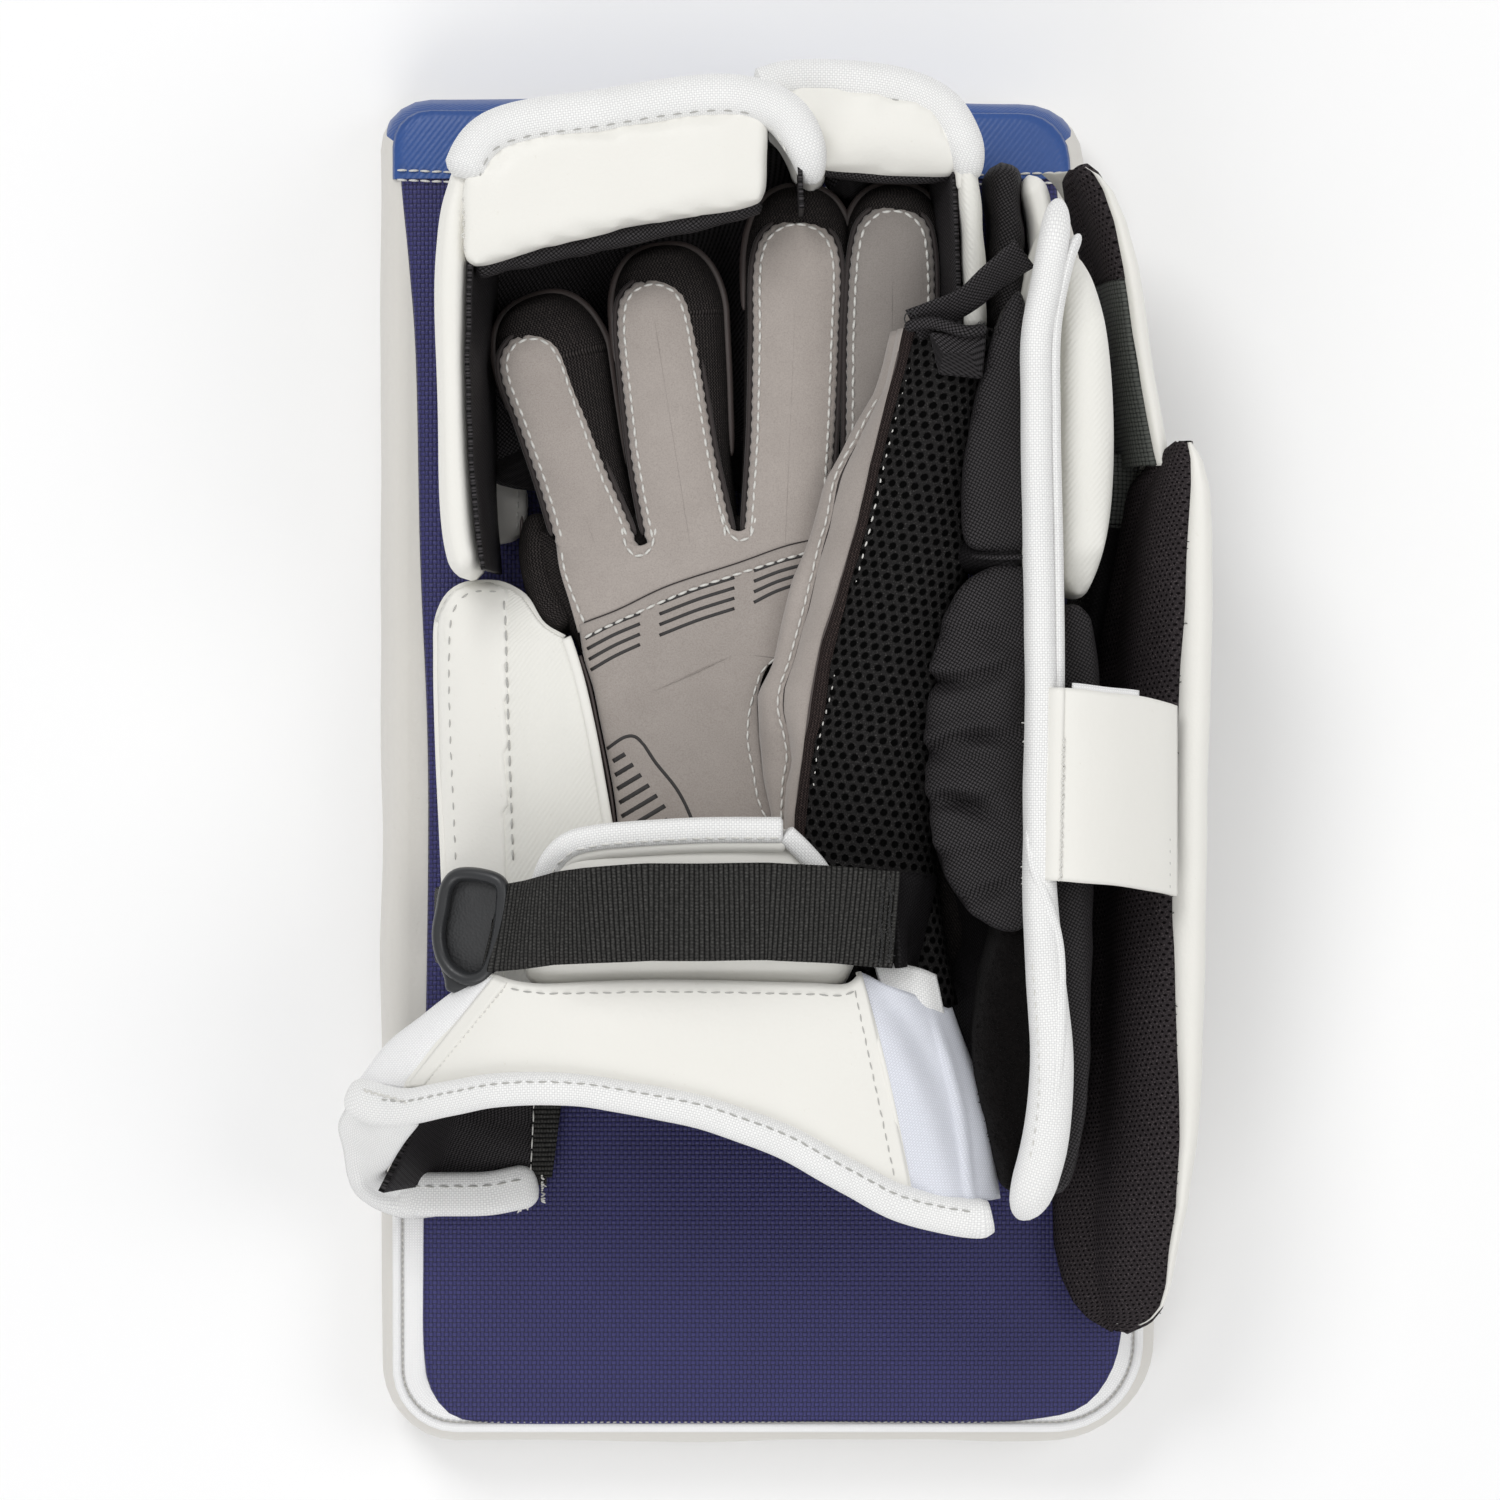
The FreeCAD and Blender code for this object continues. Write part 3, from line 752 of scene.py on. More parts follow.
def pile(name, colour):
    """Loop pile: dense curly fluff with lint caught in it."""
    s = Shader(name, 0.95, 0.04, 0.04)
    curls = s.noise(s.world(0.8), 1.0, 5.0, 0.75)
    lint = s.noise(s.world(1.1), 1.0, 2.0, 0.8)
    base = s.ramp(curls, [(0.3, tuple(c * 0.4 for c in colour)), (0.7, tuple(c * 1.6 for c in colour))])
    s.colour(s.mix(1.0, base, s.ramp(lint, [(0.68, (1, 1, 1)), (0.78, (3.0, 2.9, 2.8))]), "MULTIPLY"))
    s.bump(curls, 0.9, 1.0)
    return s.material


def thread(name, colour, roughness=0.6):
    """Twisted sewing thread."""
    s = Shader(name, roughness, 0.4, 0.2)
    twist = s.noise(s.world(0.35), 1.0, 2.0)
    s.colour(s.mix(twist, colour, tuple(c * 0.72 for c in colour)))
    s.bump(twist, 0.1, 0.8)
    return s.material


WHITE_LEATHER = leather("white_leather", (0.86, 0.85, 0.805), (0.81, 0.795, 0.745))
SIDE_LEATHER = leather("side_leather", (0.74, 0.72, 0.68), (0.66, 0.64, 0.60), 0.5, 1.3, 0.08)
TWILL_LEATHER = leather("twill_leather", (0.84, 0.83, 0.785), (0.79, 0.78, 0.725), 0.45, 0.9, 0.05, 1.1)
BLUE_LEATHER = leather("blue_leather", (0.030, 0.095, 0.33), (0.022, 0.07, 0.25), 0.38, 0.9, 0.05, 1.3)
WHITE_WOVEN = woven("white_woven", (0.70, 0.70, 0.70), (0.93, 0.93, 0.92), 0.62, 0.10, mottle=0.08)
SATIN = woven("gusset_satin", (0.58, 0.60, 0.67), (0.78, 0.80, 0.87), 0.5, 0.08, 45, 1.0, 0.4, mottle=0.08)
TAPE_WOVEN = woven("tape_woven", (0.78, 0.78, 0.79), (0.94, 0.94, 0.94), 0.5, 0.08, 45, 1.0, 0.5, mottle=0.08)
NAVY_NYLON = woven("navy_nylon", (0.007, 0.006, 0.030), (0.030, 0.029, 0.142), 1.05, 0.28, 0, 0.85, 0.5,
    0.1, 0.4, 0.2)
BLACK_NYLON = woven("black_nylon", (0.0015, 0.0015, 0.0015), (0.053, 0.049, 0.052), 0.8, 0.2, 28, 1.0, 0.5,
    0.0, 0.12, 0.3, 0.45)
# painted shade: a much darker copy of the black nylon, for gaps and hollows where shade falls
SHADOW_NYLON = woven("shadow_black_nylon", (0.001, 0.001, 0.001), (0.012, 0.011, 0.012), 0.8, 0.2, 28, 1.0, 0.5,
    0.0, 0.1)
COARSE_NYLON = woven("coarse_nylon", (0.008, 0.010, 0.009), (0.100, 0.106, 0.098), 1.15, 0.3, 0, 1.0, 0.5,
    0.0, 0.12)
BLACK_KNIT = knit("black_knit", (0.002, 0.0018, 0.0018), (0.046, 0.041, 0.040))
BROWN_KNIT = knit("brown_knit", (0.010, 0.007, 0.007), (0.050, 0.038, 0.036), 0.7)
SPACER = spacer_mesh("spacer_mesh", (0.0005, 0.0005, 0.0005), (0.022, 0.021, 0.021), 2.95, 0.30)
DIMPLED = spacer_mesh("dimpled_mesh", (0.004, 0.003, 0.0035), (0.034, 0.029, 0.031), 1.5, 0.22, 0.3)
# painted shade: a darker copy of the grey suede for the lower palm, standing for the shade in its hollow
PALM_PAINTED_SHADE_SUEDE = suede("palm_painted_shade_suede", (0.40, 0.36, 0.333), (0.315, 0.28, 0.257))
SHADED_SUEDE = suede("shaded_suede", (0.30, 0.275, 0.255), (0.25, 0.225, 0.21))
SUEDE = suede("grey_suede", (0.445, 0.40, 0.37), (0.35, 0.31, 0.285))
PIPING = moulded("suede_piping", (0.062, 0.049, 0.046), 0.0, 0.42)
BROWN_TRIM = thread("brown_trim", (0.028, 0.020, 0.019))
WEBBING = webbing("black_webbing", (0.0015, 0.0015, 0.0015), (0.042, 0.041, 0.039))
PLASTIC = moulded("black_plastic", (0.020, 0.021, 0.023), 0.0, 0.36)
PEBBLED = moulded("pebbled_plastic", (0.027, 0.0275, 0.029), 1.0, 0.5)
LOOP_PILE = pile("loop_pile", (0.006, 0.005, 0.005))
PRINT = moulded("palm_print", (0.02, 0.018, 0.018), 0.0, 0.55)
WHITE_THREAD = thread("white_thread", (0.80, 0.79, 0.75))
GREY_THREAD = thread("grey_thread", (0.52, 0.515, 0.49))
BLACK_THREAD = thread("black_thread", (0.012, 0.012, 0.012))


# ---------------------------------------------------------------- the board
BOARD_LOW, BOARD_HIGH = (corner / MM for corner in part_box("board_face_skin"))
BOARD_TOP_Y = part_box("board_top_cap")[1].y / MM
BACK_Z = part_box("board_back_cover")[1].z / MM
CAP_SEAM_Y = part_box("board_top_cap")[0].y / MM
OUTLINE_POINTS = 260
CAP_END_Y = 181.0  # where the blue cap's slanting edge would meet the front face
CAP_SLANT = 0.5
PANELS = ((-200, -62), (-60, 58), (60, 200))  # the front face's panels, low and high y
# the side's profile from the front face up: (height, inset from the outline)
SIDE_LEVELS = [(0.15, 30.0), (0.1, 9.0), (0.35, 5.0), (1.7, 2.4), (4.2, 0.8), (8.5, 0.0), (13.0, -0.5),
    (18.0, -0.4), (22.5, 0.3), (26.5, 1.3), (29.3, 3.2), (30.8, 5.6), (30.6, 8.0), (30.0, 12.0),
    (29.8, 20.0)]


def board_outline():
    """The board's edge, its corners given as (x, y, radius)."""
    corners = [(BOARD_LOW.x - 0.5, BOARD_TOP_Y, 13), (82.5, BOARD_TOP_Y - 1, 16),
        (BOARD_HIGH.x + 0.5, -128, 120)]
    corners += [(BOARD_HIGH.x + 0.5, BOARD_LOW.y, 27), (BOARD_LOW.x, BOARD_LOW.y, 20)]
    return rounded(corners, OUTLINE_POINTS)


def back_outline():
    """The nylon back's edge, which bows in along the little-finger side."""
    corners = [(-96.8, 172), (-96.9, 158), (-94.6, 134), (-92.9, 112), (-91.6, 56), (-89.5, 0), (-91, -125),
        (-90.6, -156), (-88.6, -164.5), (-83.6, -170.4)]
    corners += [(-74, -172.4), (10, -172.2), (70, -171.6), (84, -168), (91.2, -159), (94.2, -146),
        (93.5, -100)]
    return smooth(corners + [(84, 60), (76, 160), (75, 170)], OUTLINE_POINTS, True)


def make_board():
    """The board: its side, top cap, back cover and face, with the core and stiffener they stand for."""
    outline = board_outline()
    rows = []
    for z, inset in SIDE_LEVELS:
        row = []
        for p in offset(outline, inset):
            wave = 0.9 * ripple((p.x, p.y, z * 2), 34, 3) if 3 < z < 30 and inset < 8 else 0
            out = Vector((p.x, p.y, 0)).normalized()
            row.append(p + out * wave + UP * z)
        rows.append(row)
    shell = skin("board_side", rows, closed=True, caps=True)
    shell.data.materials.append(SIDE_LEATHER)
    cap = split_board(shell)
    finish_piece(shell, "board", SIDE_LEATHER, ["board_face_skin", "foam_core", "stiffener_plate"])
    finish_piece(cap, "board", BLUE_LEATHER, ["board_top_cap"])
    face = face_panels(outline)
    finish_piece(face, "board", SIDE_LEATHER)
    back = pillow("board_back", [p + UP * (BACK_Z - 1.4) for p in back_outline()],
        ((0, 120, 30.6), (3, -110, 30.6)), 1.7, 0.2, 14, 5.0)
    reshape(back, lambda p: (0, 0, 0.35 * ripple(p, 26, 1) + 0.15 * ripple(p, 9, 5) if p.z > 31 else 0))
    keep_side(back, CAP_SEAM_Y - 0.2, below=True)
    lay_from_above(back)
    finish_piece(back, "board", NAVY_NYLON, ["board_back_cover"])
    make_cap_back(outline)
    make_board_piping(outline)


def keep_side(obj, y, below, lean=0.0):
    """Cuts the piece across at y, on a plane that leans with height, and keeps one side."""
    bm = bmesh.new()
    bm.from_mesh(obj.data)
    bmesh.ops.bisect_plane(
        bm,
        geom=bm.verts[:] + bm.edges[:] + bm.faces[:],
        plane_co=(0, y * MM, 0),
        plane_no=(0, 1, lean),
        clear_outer=below,
        clear_inner=not below,
    )
    bm.to_mesh(obj.data)
    bm.free()
    for poly in obj.data.polygons:
        poly.use_smooth = True


def split_board(shell):
    """Cuts the top end off the board's side, on a slant, as the blue cap."""
    cap = shell.copy()
    cap.data = shell.data.copy()
    cap.name = "board_top_wrap"
    bpy.context.scene.collection.objects.link(cap)
    keep_side(shell, CAP_END_Y, True, CAP_SLANT)
    keep_side(cap, CAP_END_Y, False, CAP_SLANT)
    return cap


def face_panels(outline):
    """The front face: three flat padded panels with sunk seams between them."""
    parts = []
    ring = offset(outline, 9.5)
    ring.append(ring[0])
    for low, high in PANELS:
        edge = [Vector((p.x, p.y, 0.6)) for p in even(ring, 1600, True) if low <= p.y <= high]
        edge = even(edge + edge[:1], 180, True)
        middle = (max(low, -160) + min(high, 160)) / 2
        parts.append(pillow("panel", edge, ((-60, middle, 0.6), (60, middle, 0.6)), 0.1, 0.5, 5, 8.0))
    return join("board_front_panels", parts)


def make_cap_back(outline):
    """The blue cap over the back's top end, with two rows of white stitching at its seam."""
    edge = [p + UP * (BACK_Z - 1.6) for p in offset(outline, 3.6)]
    cap = pillow("board_top_cap_back", edge, ((-10, 120, 30.4), (0, -110, 30.4)), 2.4, 0.2, 12, 6.0)
    reshape(cap, lambda p: (0, 0, 0.25 * ripple(p, 22, 4)))
    keep_side(cap, CAP_SEAM_Y - 1.0, below=False)
    lay_from_above(cap)
    finish_piece(cap, "board", BLUE_LEATHER)
    rows = []
    for shift in (1.0, -1.6):
        line = smooth([(-97.5, 157.2 + shift), (-60, 155.8 + shift), (0, 155 + shift), (79, 156.5 + shift)],
            60, z=33.0)
        rows.append(stitches("cap_stitch", line, 3.0, 2.5, 0.32))
    finish_piece(join("board_cap_stitches", rows), "board", WHITE_THREAD)


def make_board_piping(outline):
    """White tape round the back's bottom edge, with a bead and a fine stitch line outside it."""
    inner = offset(outline, 4.4)
    path = [p + UP * 31.0 for p in inner]
    start = max(range(len(path)), key=lambda i: path[i].y)
    path = path[start:] + path[:start]
    low = [p for p in path if p.y < -96]
    bead = sweep("bead", low, oval(2.4, 2.4, 12, 2.2), scale=tapered(0.01, 0.4))
    tape = sweep("tape", [p - UP * 0.7 for p in offset(low, 4.6, False)], oval(6.4, 1.8, 14, 3.0),
        scale=tapered(0.01, 0.4))
    finish_piece(join("board_piping", [bead, tape]), "board", TAPE_WOVEN, ["board_bottom_piping"])
    line = [p + UP * 0.4 for p in offset(low, 1.5, False)]
    sew("board_piping_stitches", line, 1.7, 1.2, 0.2, "board", GREY_THREAD)


make_board()


# ---------------------------------------------------------------- the hoods over the fingers
HOOD_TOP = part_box("finger_hood_shell")[1].z / MM
HOOD_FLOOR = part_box("finger_hood_shell")[0].z / MM
LIP_LOW, LIP_HIGH = (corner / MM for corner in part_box("finger_hood_lip"))
WALL = 9.0  # thickness of the padded walls
LIP_SWELL = (1.4, 3.0, 2.0)


def hood_wall(name, line, low, high, thickness, near_drop=0.0, ends=(0.03, 0.03)):
    """A padded wall standing along a line, with a rounded top and rounded ends."""
    middle, height = (low + high) / 2, high - low
    path = []
    for i, p in enumerate(line):
        t = i / (len(line) - 1)
        path.append(p + UP * (middle - near_drop * (1 - t) / 2 + 0.5 * ripple(p, 20, 2)))

    def scale(t):
        first = min(1.0, t / ends[0])
        last = min(1.0, (1 - t) / ends[1])
        k = rounding(0.02, first, last)
        swell = 1 + 0.05 * math.sin(7 * t * PI)
        return (k * swell, (0.6 + 0.4 * k) * (1 - near_drop * (1 - t) / height))

    wall = sweep(name, path, oval(thickness, height, 28, 3.4), scale=scale)
    return wall


def make_finger_hood():
    """The hood over three fingers: wall, floor, rim, flange and binding."""
    line = smooth([(-75.8, 49), (-78.3, 60), (-80.0, 94), (-80.0, 132), (-78.0, 146), (-71, 160),
        (-42, 166.5), (-8, 170.2), (4, 166), (9.8, 157), (11.2, 149)], 150)
    wall = hood_wall("finger_hood_wall", line, HOOD_FLOOR, HOOD_TOP - 1, WALL, 5.0)
    finish_piece(wall, "three_finger_hood", WHITE_LEATHER, ["finger_hood_shell"])

    capped = []
    for p in line:
        if p.y > 148.6 or p.x > 0:
            dip = max(0.0, 160 - p.y) if p.x > 0 else 0.0
            capped.append(p + UP * (HOOD_TOP - 5 - 0.035 * dip**2))
    cap = sweep("finger_hood_rim", capped, oval(WALL + 2.4, 14, 24, 2.7), scale=rim_fall(0.16))
    finish_piece(cap, "three_finger_hood", WHITE_WOVEN, ["finger_hood_binding"])

    run = [p for p in capped if p.x < -1]
    line = settle(offset(run, 4.1, False), cap, 0.15)
    sew("finger_hood_rim_stitches", line, 4.2, 2.2, 0.22, "three_finger_hood", GREY_THREAD)
    flange = sweep("finger_hood_flange", [p + UP * 1.8 for p in offset(run, 7.2, False)],
        oval(5.6, 3.4, 14), scale=tapered(0.03))
    finish_piece(flange, "three_finger_hood", WHITE_LEATHER)
    falling = [p + UP * 3.6 for p in offset([p for p in capped if p.x > 2.5][:-6], 5.2, False)]
    sew("finger_hood_rim_end_stitches", falling, 2.6, 1.7, 0.24, "three_finger_hood", WHITE_THREAD)

    floor_edge = smooth([(-76, 78), (-77, 130), (-69, 159), (-40, 164), (-6, 167), (11, 156), (11.5, 78),
        (-30, 74)], 90, True, HOOD_FLOOR + 3)
    floor = pillow("finger_hood_floor", floor_edge, ((-30, 100, 49), (-30, 130, 49)), 2.5, 2.5, 7, 4.0)
    finish_piece(floor, "three_finger_hood", BLACK_NYLON)

    make_hood_lip()
    make_hood_liner()


def rim_fall(least):
    """A rim that thins out over its last stretch."""
    def at(t):
        last = min(1.0, (1 - t) / 0.16)
        first = min(1.0, t / 0.02)
        k = least + (1 - least) * rounding(0.0, last)
        return min(k, 0.5 + 0.5 * first)
    return at


def make_hood_lip():
    """The padded lip inside the finger hood, and its stitching."""
    edge = smooth([(-75.9, 128.9), (-76.4, 139), (-76.2, 149.2), (-64.6, 160.4), (-40, 163.6), (-8, 167.6),
        (-2.2, 167.8), (-0.9, 166), (-0.8, 155), (-1.2, 145.6), (-2.4, 144.2), (-20, 140.2), (-40, 135.9),
        (-60, 131.5), (-73.6, 128.3)], 130, True)

    def hang(p):
        return (0, 0, -0.02 * max(0.0, (142 + 0.2 * (p.x + 40)) - p.y) ** 2 + 0.4 * ripple(p, 15, 8))

    heights = (LIP_LOW.z - 0.5, LIP_HIGH.z - 1.6)
    lip = pad("finger_hood_lip_pad", offset(edge, -0.4), heights, 0.4, LIP_SWELL, hang)
    finish_piece(lip, "three_finger_hood", WHITE_LEATHER, ["finger_hood_lip"])
    line = smooth([(-76.2, 150), (-76.6, 140), (-76.2, 130.5)], 30, z=100.6)
    zigzag = [p + Vector((0.9 * (1 if i % 2 else -1), 0, 0)) for i, p in enumerate(even(line, 14))]
    sew("finger_hood_lip_stitches", zigzag, 1.7, 1.6, 0.24, "three_finger_hood", WHITE_THREAD)


def make_hood_liner():
    """The nylon that lines the finger hood, with its rolled front edge."""
    roll = smooth([(-74, 127.4, 92.6), (-60, 130.4, 93), (-40, 134.8, 93.4), (-8, 141.8, 93.4),
        (-1.8, 144, 92.6)], 70)
    roll = [p + Vector((0, 0.5 * ripple(p, 6, 9), 0.4 * ripple(p, 5, 2))) for p in roll]
    front = sweep("finger_hood_liner_roll", roll, oval(5.2, 6.4, 16), scale=tapered(0.02, 0.5))
    finish_piece(front, "three_finger_hood", BLACK_NYLON)
    rows = []
    for p in smooth([(-75.4, 130), (-75.6, 95), (-74.0, 66), (-72.0, 51)], 60):
        row = []
        for step in range(15):
            t = step / 14
            out = 4.4 * math.sin(0.5 * PI * t) ** 1.4 * (0.45 + 0.55 * min(1, (p.y - 45) / 45))
            fold = 0.5 * ripple((p.x, p.y, 60 * t), 11, 6)
            row.append(Vector((p.x + out + fold, p.y, 98.0 - 46 * t)))
        rows.append(row)
    sheet("finger_hood_liner_side", rows, 1.2, "three_finger_hood", BLACK_NYLON, ["finger_hood_liner"])
    rows = []
    for p in smooth([(-72, 138), (-64, 156), (-40, 161.5), (-7, 165), (6, 160), (8.5, 142)], 50):
        rows.append([Vector((p.x, p.y, z)) + Vector((0.4 * ripple((p.x, p.y, z), 9), 0, 0))
            for z in (101, 98, 90, 80, 70, 60, 52)])
    sheet("finger_hood_liner_back", rows, 1.2, "three_finger_hood", BLACK_NYLON)


def make_index_hood():
    """The smaller hood over the index finger, with its rim, lining and lip."""
    low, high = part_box("index_hood_shell")
    top = high.z / MM
    side_line = smooth([(52.8, 112), (52.6, 130), (51.0, 150), (49.5, 163)], 50)
    side = hood_wall("index_hood_side", side_line, low.z / MM, top, 6.6, 0.0, (0.05, 0.05))
    finish_piece(side, "index_hood", TWILL_LEATHER, ["index_hood_shell"])
    line = smooth([(-3, 173.6), (6, 176), (33, 174.3), (44.4, 169), (49.6, 160.5), (51.6, 150.5)], 90)
    wall = hood_wall("index_hood_wall", line, low.z / MM, top, 8.0, 0.0, (0.03, 0.08))
    finish_piece(wall, "index_hood", WHITE_LEATHER)
    cap = sweep("index_hood_rim", [p + UP * (top - 4.5) for p in line], oval(10.4, 14, 24, 2.7),
        scale=rim_fall(0.25))
    finish_piece(cap, "index_hood", WHITE_WOVEN, ["index_hood_binding"])
    inner = settle(offset(line, 3.8, False), cap, 0.15)
    sew("index_hood_rim_stitches", inner[:-12], 4.2, 2.2, 0.22, "index_hood", GREY_THREAD)
    flange = [p + UP * (top - 3.4) for p in offset(line[20:-24], 6.6, False)]
    finish_piece(sweep("index_hood_flange", flange, oval(5.4, 3.4, 14), scale=tapered(0.03)), "index_hood",
        WHITE_LEATHER)
    edge = smooth([(6, 173.2), (30, 171.6), (39.6, 169.2), (43.2, 166.6), (45.6, 161), (48.6, 154.6),
        (47.4, 152.6), (28, 152.4), (10, 155), (6.4, 158)], 110, True)
    lip_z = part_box("index_hood_lip")
    heights = (lip_z[0].z / MM, lip_z[1].z / MM - 2)
    lip = pad("index_hood_lip_pad", offset(edge, -0.2), heights, 0.5, LIP_SWELL,
        lambda p: (0, 0, -0.035 * max(0.0, 163 - p.y) ** 2 + 0.4 * ripple(p, 12, 3)))
    fold = smooth([(43.6, 165.6, top - 0.2), (46.2, 160.4, top - 0.2), (49.2, 154.6, top - 1.4),
        (50.2, 148, top - 3)], 30)
    finish_piece(sweep("index_hood_corner_fold", fold, oval(4.0, 3.0, 14), scale=tapered(0.08, 0.4)),
        "index_hood", WHITE_LEATHER)
    finish_piece(lip, "index_hood", WHITE_LEATHER, ["index_hood_lip"])
    roll = smooth([(12, 154.5, 81), (28, 152.4, 81), (42, 152.4, 81), (47.5, 153.5, 80)], 40)
    finish_piece(sweep("index_hood_liner_roll", roll, oval(4.6, 5.5, 14), scale=tapered(0.04, 0.4)),
        "index_hood", BLACK_NYLON)
    rows = []
    for y in (112, 120, 128, 136, 144, 152, 158):
        row = []
        for step in range(12):
            t = step / 11
            out = 7.0 * math.sin(0.5 * PI * t)
            row.append(Vector((49.2 - 0.04 * (y - 112) - out + 0.5 * ripple((y, t * 30, 0), 8), y,
                top - 3 - 36 * t)))
        rows.append(row)
    sheet("index_hood_liner", rows, 1.2, "index_hood", BLACK_NYLON)
    floor_edge = smooth([(20, 76), (20, 165), (30, 172), (48, 166), (53, 150), (53, 80), (36, 74)], 70,
        True, 49)
    finish_piece(pillow("index_hood_floor", floor_edge, ((36, 100, 49), (36, 140, 49)), 2.4, 2.4, 6, 4.0),
        "index_hood", BLACK_NYLON)
    backing = smooth([(16, 150), (16, 168), (44, 166), (47, 150)], 30, True, 60)
    finish_piece(pillow("index_hood_tip_lining", backing, ((25, 158, 60), (38, 158, 60)), 3, 3, 5, 4.0),
        "index_hood", BLACK_NYLON)


# ---------------------------------------------------------------- the fingers
# each suede facing: its centre line from the root as (x, y, half width), and the y of its tip
FINGERS = {
    "pinky": ([(-41.5, 50, 9.6), (-43.6, 57, 9.8), (-50, 75, 8.7), (-56, 92, 8.5), (-60.3, 104, 8.5)], 112.6),
    "ring": ([(-18.6, 50, 11), (-19.6, 57, 11), (-24.2, 80, 10.6), (-27, 100, 10.2), (-29.2, 117, 9.4)],
        126.6),
    "middle": ([(4.2, 50, 10.6), (4.8, 60, 10.7), (6.4, 85, 10.7), (7.2, 110, 10.9), (7.6, 131, 10.9)], 142),
    "index": ([(31, 50, 11), (31, 60, 11), (31.2, 90, 11), (31.8, 118, 11.2), (32.2, 135, 10.2)], 145.4),
}
# how each knit stall shows round its facing: past the tip, leaning to the right, and its extra half width
KNIT = {
    "pinky": (8.6, 5.4, 6.0),
    "ring": (8.4, 3.8, 5.0),
    "middle": (8.6, 0.5, 3.0),
    "index": (5.6, 0.6, 2.8),
}
FACING_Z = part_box("middle_facing")[1].z / MM


def finger_outline(points, tip_y, count, scallop=0.0):
    """The closed edge of a facing: up its left side, round the tip, and down its right side."""
    left, right = [], []
    for i, (x, y, half) in enumerate(points):
        a = Vector(points[max(i - 1, 0)][:2])
        b = Vector(points[min(i + 1, len(points) - 1)][:2])
        along = (b - a).normalized()
        side = Vector((along.y, -along.x))
        left.append(Vector((x, y, 0)) - side.to_3d() * half)
        right.append(Vector((x, y, 0)) + side.to_3d() * half)
    x, y, half = points[-1]
    lean = Vector((points[-1][0] - points[-2][0], points[-1][1] - points[-2][1])).normalized()
    rise = tip_y - y
    tip = []
    for degrees in (145, 115, 90, 65, 35):
        a = math.radians(degrees)
        side = Vector((lean.y, -lean.x, 0)) * (half * math.cos(a))
        tip.append(Vector((x, y, 0)) + side + Vector((lean.x, lean.y, 0)) * (rise * math.sin(a)))
    line = smooth(left + tip + right[::-1], count, True)
    if scallop:
        beat = round(path_length(line) / 2.9)
        bumps = [scallop * math.sin(2 * PI * beat * i / count) for i in range(count)]
        wide = offset(line, 1.0)
        line = [p + (p - w) * b for p, w, b in zip(line, wide, bumps)]
    return line


